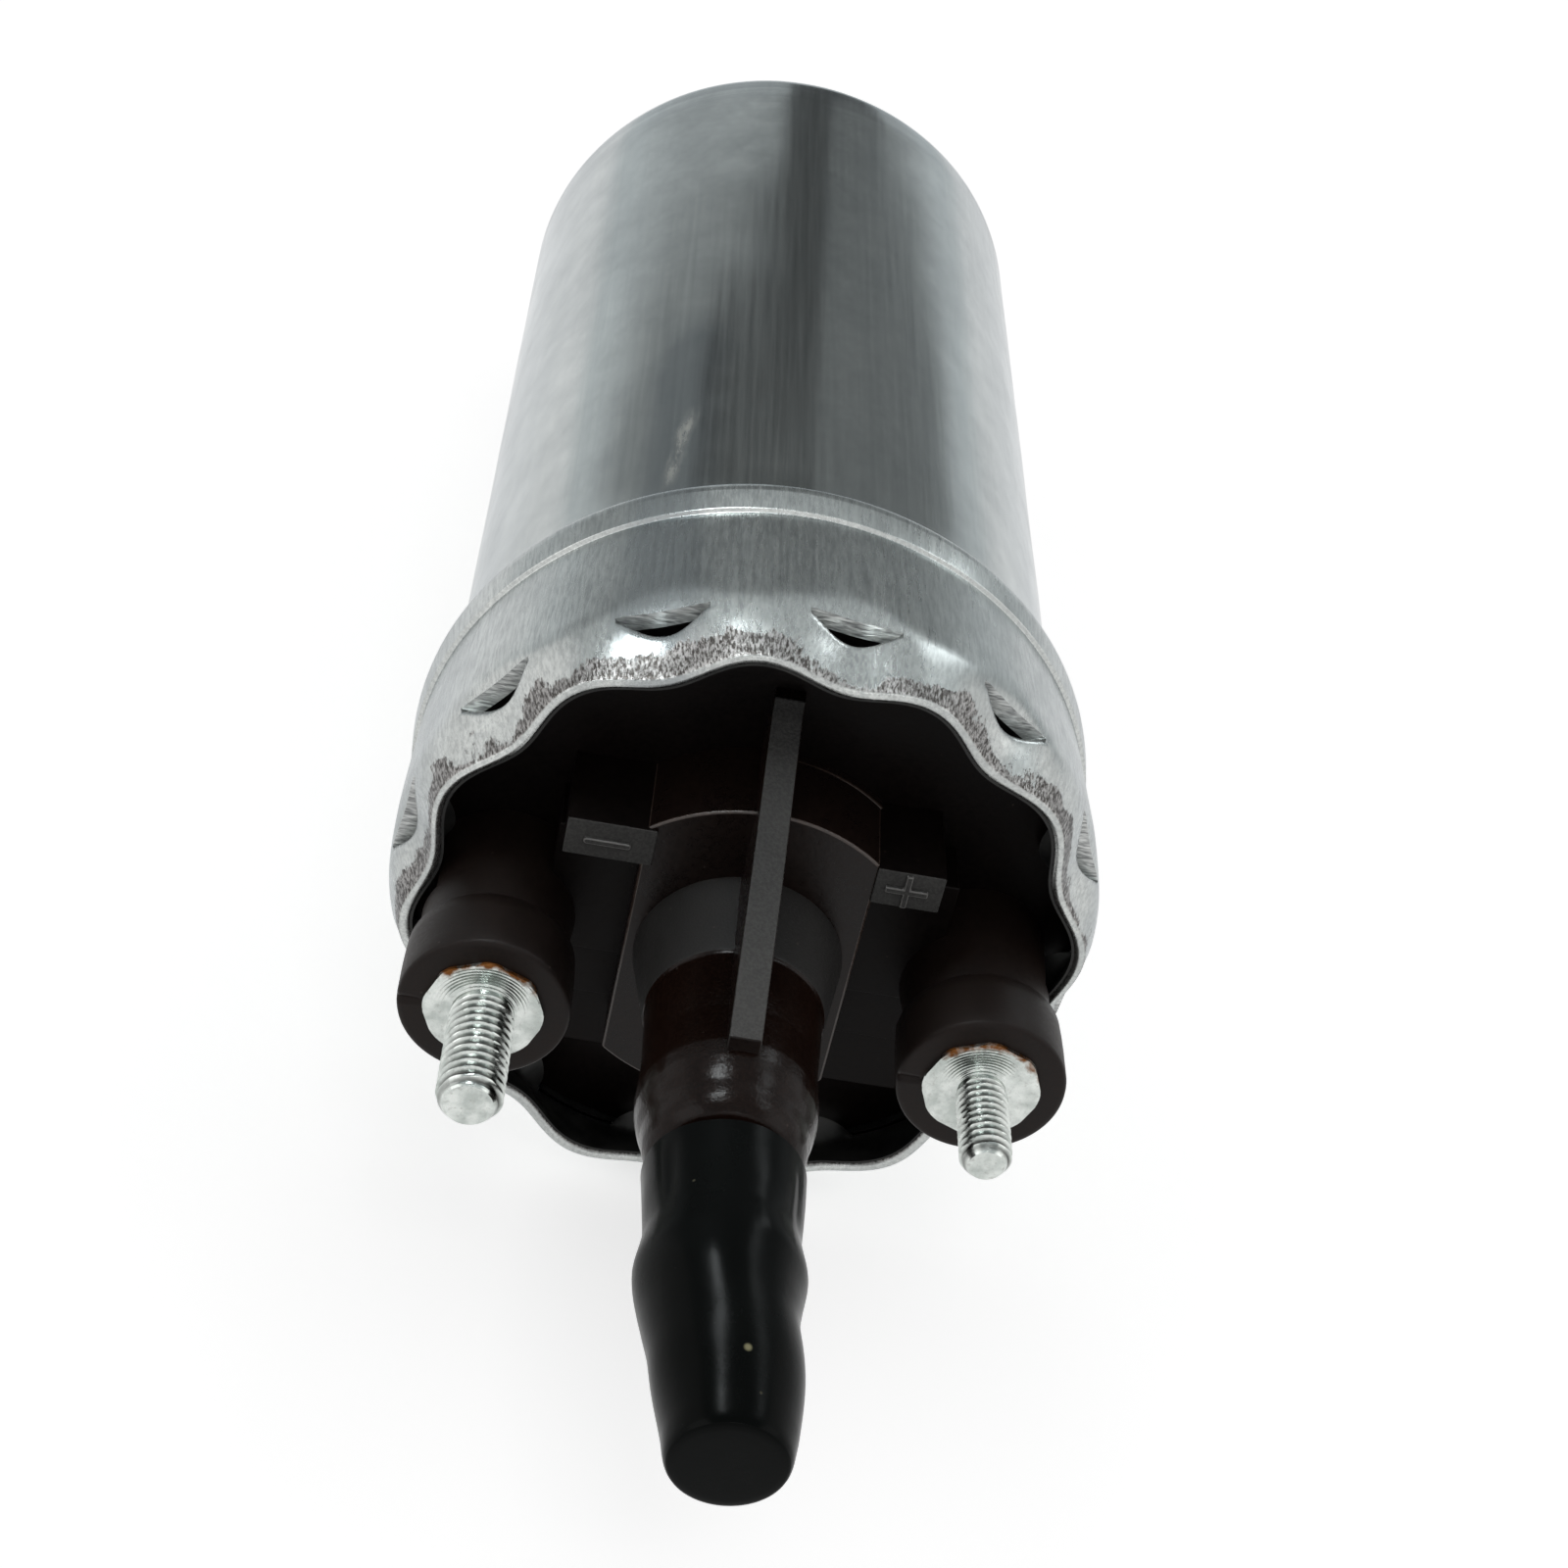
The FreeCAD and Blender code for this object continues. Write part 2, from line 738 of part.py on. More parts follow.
def inner_rotor():
    """Six-toothed rotor, the curve that rolls inside seven round lobes."""
    count = inner_teeth * 16
    points = [rotor_point(2 * math.pi * step / count) for step in range(count)]
    points.append(points[0])
    arcs = [Part.Arc(*points[step:step + 3]).toShape() for step in range(0, count, 2)]
    face = Part.Face(Part.Wire(arcs))
    low = inlet_plate_front + running_gap
    high = outlet_plate_back - running_gap
    rotor = face.extrude(Vector(0, 0, high - low))
    rotor.translate(Vector(0, 0, low))
    bore = cyl(shaft_radius + running_gap, low - 1, high + 1)
    flat = box(shaft_flat + running_gap, 5, -5, 5, low - 2, high + 2)
    return rotor.cut(bore.cut(flat))


def outer_rotor():
    """Ring with seven round lobes, running round the inner rotor on its own centre."""
    low = inlet_plate_front + running_gap
    high = outlet_plate_back - running_gap
    valley = lobe_circle - lobe_radius + 2 * eccentricity + mesh_gap
    rotor = tube(ring_radius - 0.08, valley, low, high)
    for number in range(lobes):
        x, y = polar(lobe_circle, number * 360.0 / lobes)
        rotor = rotor.fuse(cyl(lobe_radius, low, high, x, y))
    rotor = rotor.common(cyl(ring_radius - 0.08, low, high)).removeSplitter()
    rotor.translate(Vector(-eccentricity, 0, 0))
    return rotor


def rotor_ring():
    """Plate with the eccentric bore in which the outer rotor turns."""
    plate = cyl(plate_radius, inlet_plate_front, outlet_plate_back)
    plate = plate.cut(
        cyl(ring_radius, inlet_plate_front - 1, outlet_plate_back + 1, -eccentricity, 0))
    return drilled(plate, inlet_plate_front, outlet_plate_back)


def drilled(plate, low, high):
    """Pump plate with the screw holes and the relief passage."""
    for angle in screw_angles:
        x, y = polar(screw_circle, angle)
        plate = plate.cut(cyl(screw_radius + slide_gap, low - 1, high + 1, x, y))
    x, y = polar(screw_circle, relief_angle)
    return plate.cut(cyl(relief_bore, low - 1, high + 1, x, y))


def kidney(low, high, centre):
    """Curved port beside the rotors, centred on one angle."""
    port = sector(
        port_outer, port_inner, low, high, centre - port_span / 2, centre + port_span / 2)
    return port


def outlet_plate():
    """Plate between pump and motor, with the rear bush and the pressure port."""
    low = outlet_plate_back
    high = outlet_plate_front
    plate = drilled(cyl(plate_radius, low, high), low, high)
    plate = plate.cut(cyl(bush_radius + running_gap, low + 0.8, high + 1))
    plate = plate.cut(cyl(shaft_radius + 0.5, low - 1, high + 1))
    return plate.cut(kidney(low - 1, high + 1, 270))


def inlet_plate():
    """Plate between pump and inlet chamber, with the suction port."""
    low = inlet_plate_back
    high = inlet_plate_front
    plate = drilled(cyl(plate_radius, low, high), low, high)
    plate = plate.cut(cyl(shaft_radius + 0.5, high - 1.0, high + 1))
    return plate.cut(kidney(low - 1, high + 1, 90))


def screw_place(shape, angle):
    """Copy of a shape moved onto the screw circle."""
    x, y = polar(screw_circle, angle)
    copy = shape.copy()
    copy.translate(Vector(x, y, 0))
    return copy


def pump_screws():
    """Three screws that hold the pump plates together."""
    head_low = inlet_cover_back + 0.3
    screw = cyl(screw_radius, head_low, outlet_plate_front - 0.4)
    screw = screw.fuse(cyl(screw_head_radius, head_low, head_low + screw_head))
    reach = screw_head_radius + 1
    slot = box(-reach, reach, -0.4, 0.4, head_low - 1, head_low + 0.8)
    screw = screw.cut(slot)
    return Part.makeCompound([screw_place(screw, angle) for angle in screw_angles])


# Inlet cover
def inlet_cover():
    """Cover with the suction chamber and the barbed inlet nipple."""
    high = inlet_plate_back
    low = inlet_cover_back
    cover = turned([
        (0, low), (plate_radius - inlet_chamfer, low), (plate_radius, low + inlet_chamfer),
        (plate_radius, high), (0, high),
    ])
    cover = cover.fuse(cyl(inlet_collar, can_back - 1.0, low + 1))
    ridges = [inlet_tip + 2 * ridge_length + 3.4, inlet_tip + ridge_length]
    cover = cover.fuse(nipple(inlet_neck, inlet_ridge, can_back + 1, inlet_tip, ridges))
    cover = cover.cut(cyl(inlet_chamber_radius, high - inlet_chamber_depth, high + 1))
    cover = cover.cut(cyl(inlet_bore, inlet_tip - 1, high))
    groove_end = can_back + sheet + 2 * inlet_seal_section + 2 * running_gap
    cover = cover.cut(tube(
        inlet_seal_circle + ring_section, inlet_seal_circle - ring_section, low - 1, groove_end))
    for angle in screw_angles:
        x, y = polar(screw_circle, angle)
        cover = cover.cut(cyl(screw_radius + slide_gap, low - 1, high + 1, x, y))
        cover = cover.cut(cyl(screw_head_radius + slide_gap, low - 1, low + 0.35 + screw_head, x, y))
    x, y = polar(screw_circle, relief_angle)
    cover = cover.cut(cyl(relief_pocket, relief_pocket_end, high + 1, x, y))
    drain = box(
        -drain_half, drain_half, inlet_chamber_radius - 2, y, high - drain_depth, high + 1)
    return cover.cut(drain).removeSplitter()


def inlet_seal_ring():
    """Seal between the inlet cover and the end of the can."""
    level = can_back + sheet + inlet_seal_section + running_gap
    return seal_ring(inlet_seal_circle, inlet_seal_section, level)


def cover_seal_ring():
    """Seal in the groove of the outlet cover's skirt."""
    section = ring_section - running_gap
    return seal_ring(can_inner - section - running_gap, section, groove_back + 1.1 * ring_section)


def inlet_strainer():
    """Small slotted cup inside the inlet nipple."""
    cup = cyl(strainer_outer, strainer_back, strainer_front)
    cup = cup.cut(cyl(strainer_outer - strainer_wall, strainer_back + 0.6, strainer_front + 1))
    slot = box(0, 6, -0.5, 0.5, strainer_back + 1.6, strainer_front - 1.6)
    for number in range(8):
        cup = cup.cut(around(slot, number * 45.0))
    return cup.fuse(tube(inlet_bore - 0.05, strainer_outer - 0.5, strainer_front - 0.8, strainer_front))


def relief_valve():
    """Ball that closes the relief passage."""
    x, y = polar(screw_circle, relief_angle)
    depth = math.sqrt(relief_ball ** 2 - relief_bore ** 2)
    return Part.makeSphere(relief_ball, Vector(x, y, inlet_plate_back - depth - 0.1))


def relief_spring():
    """Spring behind the relief ball."""
    x, y = polar(screw_circle, relief_angle)
    high = inlet_plate_back - 2 * relief_ball + 0.6
    outer = relief_pocket - 0.2
    return tube(outer, outer - spring_wall, relief_pocket_end + running_gap, high, x, y)


def place(shape):
    """Lay the pump down: outlet towards -Y, top towards +Z."""
    copy = shape.copy()
    copy.rotate(Vector(0, 0, 0), Vector(1, 0, 0), 90)
    return copy


def build():
    """All nodes by name."""
    negative, positive = studs()
    side_magnet = magnet()
    clip = magnet_clip()
    brush_right = brush()
    spring_right = brush_spring()
    lead_right = brush_lead()
    rear_bush_front = outlet_plate_front - running_gap
    return {
        "housing_can": housing_can(),
        "outlet_cover": outlet_cover(),
        "cover_seal_ring": cover_seal_ring(),
        "negative_stud": negative,
        "positive_stud": positive,
        "check_valve_seat": check_valve_seat(),
        "check_valve": check_valve(),
        "check_valve_spring": check_valve_spring(),
        "dust_cap": dust_cap(),
        "flux_ring": flux_ring(),
        "magnet_right": side_magnet,
        "magnet_left": around(side_magnet, 180),
        "magnet_clip_upper": clip,
        "magnet_clip_lower": around(clip, 180),
        "lamination_stack": lamination_stack(),
        "armature_winding": armature_winding(),
        "commutator_bars": commutator_bars(),
        "commutator_hub": commutator_hub(),
        "armature_shaft": armature_shaft(),
        "front_bush": bush(front_bush_back, front_bush_front),
        "rear_bush": bush(outlet_plate_back + 0.85, rear_bush_front),
        "front_thrust_washer": thrust_washer(front_bush_back - washer_wall - running_gap),
        "rear_thrust_washer": thrust_washer(outlet_plate_front + running_gap),
        "brush_right": brush_right,
        "brush_left": mirrored(brush_right),
        "brush_spring_right": spring_right,
        "brush_spring_left": mirrored(spring_right),
        "brush_lead_right": lead_right,
        "brush_lead_left": mirrored(lead_right),
        "outlet_plate": outlet_plate(),
        "rotor_ring": rotor_ring(),
        "inner_rotor": inner_rotor(),
        "outer_rotor": outer_rotor(),
        "inlet_plate": inlet_plate(),
        "pump_screws": pump_screws(),
        "inlet_cover": inlet_cover(),
        "inlet_seal_ring": inlet_seal_ring(),
        "inlet_strainer": inlet_strainer(),
        "relief_valve": relief_valve(),
        "relief_spring": relief_spring(),
    }


def main():
    """Write one file for each node."""
    os.makedirs("parts", exist_ok=True)
    for name, shape in build().items():
        place(shape).exportStep("parts/" + name + ".step")
        print(name, len(shape.Solids), "valid" if shape.isValid() else "NOT VALID", round(shape.Volume))


main()
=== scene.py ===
import math

import bmesh
import bpy
from mathutils import Matrix, Vector, noise


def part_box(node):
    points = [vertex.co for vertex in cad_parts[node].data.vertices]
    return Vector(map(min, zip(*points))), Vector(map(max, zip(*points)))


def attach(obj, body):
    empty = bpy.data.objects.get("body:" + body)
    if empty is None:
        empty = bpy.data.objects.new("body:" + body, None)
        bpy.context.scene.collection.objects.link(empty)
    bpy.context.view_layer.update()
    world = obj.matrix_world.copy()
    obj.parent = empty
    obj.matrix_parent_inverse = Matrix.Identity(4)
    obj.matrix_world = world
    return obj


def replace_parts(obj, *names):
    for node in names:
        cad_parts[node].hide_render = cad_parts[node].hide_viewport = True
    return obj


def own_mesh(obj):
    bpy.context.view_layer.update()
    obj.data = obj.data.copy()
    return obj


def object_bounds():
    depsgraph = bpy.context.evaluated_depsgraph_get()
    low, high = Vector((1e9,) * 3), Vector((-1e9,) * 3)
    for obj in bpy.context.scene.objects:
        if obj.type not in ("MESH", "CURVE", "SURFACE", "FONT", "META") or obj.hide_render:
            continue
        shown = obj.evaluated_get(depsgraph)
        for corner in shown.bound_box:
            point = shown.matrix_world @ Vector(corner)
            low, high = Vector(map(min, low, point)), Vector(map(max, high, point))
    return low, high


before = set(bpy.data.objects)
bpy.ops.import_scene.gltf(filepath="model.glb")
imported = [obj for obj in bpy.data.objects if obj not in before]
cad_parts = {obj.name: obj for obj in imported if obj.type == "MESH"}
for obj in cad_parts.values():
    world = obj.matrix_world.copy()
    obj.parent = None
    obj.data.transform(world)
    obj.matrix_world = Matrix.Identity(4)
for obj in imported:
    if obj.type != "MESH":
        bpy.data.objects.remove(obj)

cad_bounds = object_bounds()

# Sizes in millimetres, in the pump's own directions: z along the axis towards the outlet, y up
can_radius = 26.0
can_back = -49.8
can_corner = 3.5
back_sheet = 1.2
can_inner = 24.8
flare_start = 41.8
flare_end = 43.1
bead_radius = 28.4
bead_end = 46.85
neck_radius = 27.85
neck_level = 47.05
collar_inner = 27.1
lip_sheet = 1.0
lip_end = 65.7
shear_level = 60.3
crimps = 12
crimp_turn = 23.2
lance_reach = 2.0
lance_depth = 2.9
lance_turn = 7.4
lance_steps = 8
gap_steps = 14
dent_depth = 0.05
dent_from = 24.0
cut_slot = 1
inner_slot = 2
back_hole = 9.2
floor_level = 59.4
platform_level = 67.7
platform_radius = 14.2
flat_half = 8.9
pad_level = 68.0
boss_x = 19.04
boss_y = -1.74
boss_level = 76.1
cover_under = 47.0
guide_back = 29.1
guide_foot = 48.0
relief_radius = 24.05
relief_level = 66.3
pad_depth = (7.8, 11.1)
mark_depth = 0.5
mark_height = 0.3
lug_radius = 3.4
lug_level = 45.8
shank_radius = 1.9
flange_radius = 4.6
flange_sheet = 1.4
flange_face = 0.4
octagon_reach = 4.4
negative_stud = dict(side=-1, radius=2.5, length=10.5, pitch=0.8)
positive_stud = dict(side=1, radius=2.0, length=8.5, pitch=0.7)
cap_rim = 91.9
cap_tip = 116.68
bore_end = 113.4
crumb_place = (0.68, 4.75, 111.3)

# Springs: faces round the wire, steps a turn, share of the turns flat at each end, soft start
coil_sides = 8
coil_steps = 28
coil_lead = 0.06
coil_ease = 0.35

# Studio, in metres of the row frame. The cards over the can slope down to the back.
mirror_height = 0.42
mirror_fall = 0.45
far_wall = 1.0
floor_gap = 0.0001
floor_half = 3.0
floor_glow = 0.56
world_unseen = 0.42
world_seen = 1.0
outlet_target = (0, -0.09, 0)
camera_lens = 61.633
camera_place = (-0.020638, -0.227734, 0.131365)
camera_right = (0.980741, 0.013066, 0.194873)
camera_up = (-0.165305, 0.586933, 0.79258)
camera_back = (-0.104022, -0.80953, 0.57779)


# Mesh building
def lay(point):
    """Point of the row frame, in metres, for one in the pump's own directions."""
    x, y, z = point
    return Vector((x, -z, y)) / 1000.0


def smooth(t):
    """Soft step from 0 to 1."""
    t = min(max(t, 0.0), 1.0)
    return t * t * (3 - 2 * t)


def along(stops, x):
    """Value at x of the smooth curve through (x, value) stops."""
    count = len(stops)
    number = 0
    while number < count - 2 and x > stops[number + 1][0]:
        number += 1
    slopes = []
    for k in (number, number + 1):
        low = stops[max(k - 1, 0)]
        high = stops[min(k + 1, count - 1)]
        slopes.append((high[1] - low[1]) / (high[0] - low[0]))
    (x0, y0), (x1, y1) = stops[number], stops[number + 1]
    width = x1 - x0
    t = min(max((x - x0) / width, 0.0), 1.0)
    blend = smooth(t)
    tangents = (t ** 3 - 2 * t * t + t) * slopes[0] + (t ** 3 - t * t) * slopes[1]
    return y0 * (1 - blend) + y1 * blend + tangents * width


def hump(x, place, width):
    """Bell of height 1 about a place."""
    return math.exp(-((x - place) / width) ** 2)


def eased(points, radius, closed=False):
    """Outline with its corners rounded off."""
    result = []
    count = len(points)
    for number, corner in enumerate(points):
        if not closed and number in (0, count - 1):
            result.append(corner)
            continue
        here = Vector(corner)
        arms = []
        for other in (points[number - 1], points[(number + 1) % count]):
            arm = Vector(other) - here
            arms.append(arm * min(radius / arm.length, 0.45))
        for t in (0.0, 0.25, 0.5, 0.75, 1.0):
            point = here + arms[0] * (1 - t) ** 2 + arms[1] * t * t
            result.append(tuple(point))
    return result


def filleted(corners):
    """Outline through (radius, level, rounding) corners, each rounded by its own radius."""
    points = []
    for number, (x, y, rounding) in enumerate(corners):
        here = Vector((x, y))
        if not rounding:
            points.append((x, y))
            continue
        before = (Vector(corners[number - 1][:2]) - here).normalized()
        after = (Vector(corners[number + 1][:2]) - here).normalized()
        half = before.angle(after) / 2
        centre = here + (before + after).normalized() * rounding / math.sin(half)
        first = here + before * rounding / math.tan(half) - centre
        last = here + after * rounding / math.tan(half) - centre
        for step in range(7):
            arm = first.slerp(last, step / 6, first)
            points.append(tuple(centre + arm.normalized() * rounding))
    return points


def skin(mesh, rows, slot=0):
    """Faces between rings of vertices. A ring of one vertex closes the form."""
    for low, high in zip(rows, rows[1:]):
        count = max(len(low), len(high))
        for i in range(count):
            j = (i + 1) % count
            corners = [low[i % len(low)], low[j % len(low)], high[j % len(high)], high[i % len(high)]]
            corners = list(dict.fromkeys(corners))
            if len(corners) > 2:
                mesh.faces.new(corners).material_index = slot


def capped(mesh, rings, top_slot=0):
    """Faces between rings, and one face over each end."""
    skin(mesh, rings)
    mesh.faces.new(rings[0][::-1])
    mesh.faces.new(rings[-1]).material_index = top_slot


def turned(mesh, outline, steps, centre=(0.0, 0.0), closed=False):
    """Surface of revolution from (radius, level) points."""
    rows = []
    for radius, level in outline:
        count = steps if radius else 1
        row = []
        for i in range(count):
            angle = 2 * math.pi * i / count
            row.append(mesh.verts.new((
                centre[0] + radius * math.cos(angle), centre[1] + radius * math.sin(angle), level)))
        rows.append(row)
    skin(mesh, rows + rows[:1] if closed else rows)
    return rows


def prism(mesh, outline, low, high, top_slot=0):
    """Straight-sided form over an outline of x and y points."""
    rings = [[mesh.verts.new((x, y, level)) for x, y in outline] for level in (low, high)]
    capped(mesh, rings, top_slot)


def block(mesh, xs, ys, zs, top_slot=0):
    """Block between three pairs of limits."""
    (x0, x1), (y0, y1) = sorted(xs), sorted(ys)
    prism(mesh, [(x0, y0), (x1, y0), (x1, y1), (x0, y1)], zs[0], zs[1], top_slot)


def linked(name, mesh):
    """Object made from a mesh and put into the scene."""
    data = bpy.data.meshes.new(name)
    mesh.to_mesh(data)
    mesh.free()
    obj = bpy.data.objects.new(name, data)
    bpy.context.scene.collection.objects.link(obj)
    return obj


def piece(name, mesh, body, finishes, bevel=0.0, crease=40.0, edge_finish=-1):
    """Object made from a mesh in millimetres, riding on a CAD body."""
    for vertex in mesh.verts:
        vertex.co = lay(vertex.co)
    bmesh.ops.recalc_face_normals(mesh, faces=mesh.faces)
    obj = linked(name, mesh)
    for finish in finishes:
        obj.data.materials.append(finish)
    obj.data.shade_smooth()
    if bevel:
        edges = obj.modifiers.new("edges", "BEVEL")
        edges.width = bevel / 1000.0
        edges.segments = 3
        edges.material = edge_finish
        edges.limit_method = "ANGLE"
        edges.angle_limit = math.radians(35)
        edges.harden_normals = True
    else:
        obj.data.set_sharp_from_angle(angle=math.radians(crease))
    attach(obj, body)
    return obj


# Materials
def plain(name, **constants):
    """Material with plain values on its shader's sockets."""
    material = bpy.data.materials.new(name)
    material.use_nodes = True
    shader = material.node_tree.nodes["Principled BSDF"]
    for socket, value in constants.items():
        shader.inputs[socket.replace("_", " ")].default_value = value
    return material


class Finish:
    """One procedural material. Lengths are in millimetres."""

    def __init__(self, name, **constants):
        self.material = plain(name, **constants)
        self.nodes = self.material.node_tree.nodes
        self.links = self.material.node_tree.links
        self.shader = self.nodes["Principled BSDF"]
        self.place = self.nodes.new("ShaderNodeTexCoord").outputs["Object"]

    def put(self, value, socket):
        """Links an output to a socket, or sets a plain value there."""
        if isinstance(value, bpy.types.NodeSocket):
            self.links.new(value, socket)
        elif isinstance(value, tuple) and len(value) == 3 and socket.type == "RGBA":
            socket.default_value = (*value, 1.0)
        else:
            socket.default_value = value

    def done(self, colour, rough, normal):
        """The material, with its colour, roughness and relief fed to the shader."""
        for name, value in (("Base Color", colour), ("Roughness", rough), ("Normal", normal)):
            self.put(value, self.shader.inputs[name])
        return self.material

    def math(self, operation, *values):
        """Result of one sum on values."""
        node = self.nodes.new("ShaderNodeMath")
        node.operation = operation
        for number, value in enumerate(values):
            self.put(value, node.inputs[number])
        return node.outputs[0]

    def times(self, first, second):
        """Product of two values."""
        return self.math("MULTIPLY", first, second)

    def plus(self, first, second):
        """Sum of two values."""
        return self.math("ADD", first, second)

    def minus(self, first, second):
        """Difference of two values."""
        return self.math("SUBTRACT", first, second)

    def scaled(self, size, stretch=(1, 1, 1)):
        """Place counted in a size, which a stretch lengthens."""
        mapping = self.nodes.new("ShaderNodeMapping")
        self.put(self.place, mapping.inputs["Vector"])
        mapping.inputs["Scale"].default_value = [1000.0 / (size * s) for s in stretch]
        return mapping.outputs[0]

    def noise(self, size, stretch=(1, 1, 1), detail=3.0, roughness=0.55, distortion=0.0):
        """Cloudy value with features of about that size, longer along a stretched direction."""
        node = self.nodes.new("ShaderNodeTexNoise")
        self.put(self.scaled(size, stretch), node.inputs["Vector"])
        node.inputs["Scale"].default_value = 1.0
        node.inputs["Detail"].default_value = detail
        node.inputs["Roughness"].default_value = roughness
        node.inputs["Distortion"].default_value = distortion
        return node.outputs[0]

    def grains(self, size):
        """Distance to the nearest of many scattered points, for specks and pits."""
        node = self.nodes.new("ShaderNodeTexVoronoi")
        self.put(self.scaled(size), node.inputs["Vector"])
        node.inputs["Scale"].default_value = 1.0
        return node.outputs["Distance"]

    def part(self, axis):
        """Coordinate along the row frame's X, Y or Z."""
        node = self.nodes.new("ShaderNodeSeparateXYZ")
        self.put(self.place, node.inputs[0])
        return self.times(node.outputs[axis], 1000.0)

    def level(self):
        """Distance along the pump's axis, towards the outlet."""
        return self.times(self.part("Y"), -1.0)

    def turn(self):
        """Angle about the pump's axis in degrees, 0 at the top and growing towards +X."""
        return self.times(self.math("ARCTAN2", self.part("X"), self.part("Z")), math.degrees(1.0))

    def window(self, value, low, high, soft):
        """1 between two limits with soft edges."""
        rise = self.span(value, low - soft, low + soft)
        return self.times(rise, self.span(value, high - soft, high + soft, 1.0, 0.0))

    def length(self, dx, dy):
        """Length of a slanted line from its two legs."""
        return self.math("SQRT", self.plus(self.times(dx, dx), self.times(dy, dy)))

    def away(self, x, y):
        """Distance from a line parallel to the pump's axis."""
        return self.length(self.minus(self.part("X"), x), self.minus(self.part("Z"), y))

    def span(self, value, low, high, start=0.0, end=1.0):
        """Value carried from one range to another, and held at its ends."""
        node = self.nodes.new("ShaderNodeMapRange")
        for number, item in enumerate((value, low, high, start, end)):
            self.put(item, node.inputs[number])
        return node.outputs[0]

    def mix(self, share, first, second):
        """Colour between two others."""
        node = self.nodes.new("ShaderNodeMix")
        node.data_type = "RGBA"
        self.put(share, node.inputs[0])
        self.put(first, node.inputs[6])
        self.put(second, node.inputs[7])
        return node.outputs[2]

    def bump(self, height, distance, strength=1.0, under=None):
        """Raised relief, on top of an earlier one."""
        node = self.nodes.new("ShaderNodeBump")
        node.inputs["Strength"].default_value = strength
        node.inputs["Distance"].default_value = distance / 1000.0
        self.put(height, node.inputs["Height"])
        if under is not None:
            self.put(under, node.inputs["Normal"])
        return node.outputs[0]


def can_metal():
    """Drawn aluminium: draw lines, a dark patch on one side as a painted reflection, a scuff, a worked
    collar and a galled lip.
    """
    f = Finish("can_metal", Metallic=1.0, Specular_Tint=(0.8, 0.82, 0.84, 1.0))
    level = f.level()
    turn = f.turn()
    cloud = f.plus(f.noise(15.0, (1, 2.5, 1), 5.0), f.noise(4.0, (1, 1.4, 1), 6.0, 0.65))
    cloud = f.times(cloud, 0.5)
    streak = f.noise(0.5, (1, 50, 1), 3.0, 0.6)
    lines = f.noise(0.28, (1, 8, 1), 3.0, 0.7)
    wander = f.times(f.minus(f.noise(7.0, (1, 1.5, 1), 3.0), 0.5), 9.0)
    tint = f.mix(f.span(cloud, 0.38, 0.6), (0.452, 0.47, 0.458), (0.6, 0.618, 0.598))
    tint = f.mix(f.span(streak, 0.3, 0.7, 0.2, 0.0), tint, (0.34, 0.36, 0.37))
    # Painted reflection: a dark patch beside the mirrored dark band, painted into the colour.
    side = f.window(f.plus(turn, wander), -30.0, -17.0, 2.5)
    painted_reflection = f.times(side, f.span(f.plus(level, wander), 7.0, 13.0))
    tint = f.mix(f.times(painted_reflection, 0.55), tint, (0.22, 0.245, 0.26))
    collar = f.span(level, 42.8, 43.6)
    scored = f.times(collar, f.span(lines, 0.36, 0.6, 0.5, 0.0))
    tint = f.mix(scored, tint, (0.26, 0.27, 0.27))
    slant = f.plus(turn, f.times(level, 0.33))
    slant = f.plus(slant, f.times(f.minus(f.noise(3.0), 0.5), 2.5))
    scuff = f.times(f.window(slant, -14.6, -12.5, 0.9), f.window(level, 27.0, 37.5, 2.0))
    scuff = f.times(scuff, f.span(f.noise(0.9, (1, 5, 1), 4.0, 0.7), 0.36, 0.6))
    tint = f.mix(f.times(scuff, 0.6), tint, (0.76, 0.72, 0.64))
    rings = f.noise(0.7, (60, 1, 60), 2.0, 0.6)
    ringed = f.times(f.span(level, -38.0, -46.0), f.span(rings, 0.42, 0.62, 0.4, 0.0))
    tint = f.mix(ringed, tint, (0.3, 0.31, 0.32))
    ragged = f.times(f.minus(f.noise(0.35, (1, 14, 1), 4.0, 0.75), 0.5), 3.4)
    patch = f.times(f.minus(f.noise(4.5, (1, 1, 1), 2.0), 0.5), 8.0)
    reach = f.plus(f.plus(level, ragged), patch)
    galled = f.times(f.span(reach, 63.7, 64.0), f.span(level, 65.62, 65.45))
    scale = f.span(f.noise(0.2, (1, 12, 1), 3.0, 0.7), 0.42, 0.6)
    tint = f.mix(galled, tint, f.mix(scale, (0.06, 0.054, 0.05), (0.36, 0.35, 0.34)))
    rough = f.span(streak, 0.3, 0.7, 0.13, 0.18)
    rough = f.plus(rough, f.times(scuff, 0.2))
    rough = f.plus(rough, f.span(cloud, 0.38, 0.6, 0.05, 0.0))
    rough = f.plus(rough, f.times(collar, 0.1))
    rough = f.plus(rough, f.times(galled, 0.12))
    wavy = f.bump(f.noise(12.0, (1, 2.0, 1), 1.0), 0.16, 0.5)
    drawn = f.bump(streak, 0.008, 0.4, wavy)
    ridged = f.bump(f.times(lines, collar), 0.02, 0.7, drawn)
    torn = f.bump(f.times(f.minus(1.0, scale), galled), 0.025, 0.6, ridged)
    return f.done(tint, rough, torn)


def painted_shade_metal():
    """Inside of the can and lip: aluminium painted near black as painted shade, since it sees little
    light, with a soft mottle.
    """
    f = Finish("painted_shade_metal", Metallic=0.6)
    shade_mottle = f.noise(2.5, (1, 1, 1), 5.0)
    # Painted shade: the near-black tint stands in for the shade inside the can and lip.
    tint = f.mix(f.span(shade_mottle, 0.3, 0.7), (0.012, 0.012, 0.012), (0.04, 0.04, 0.038))
    return f.done(tint, f.span(shade_mottle, 0.3, 0.7, 0.35, 0.6), f.bump(f.noise(0.4), 0.02, 0.6))


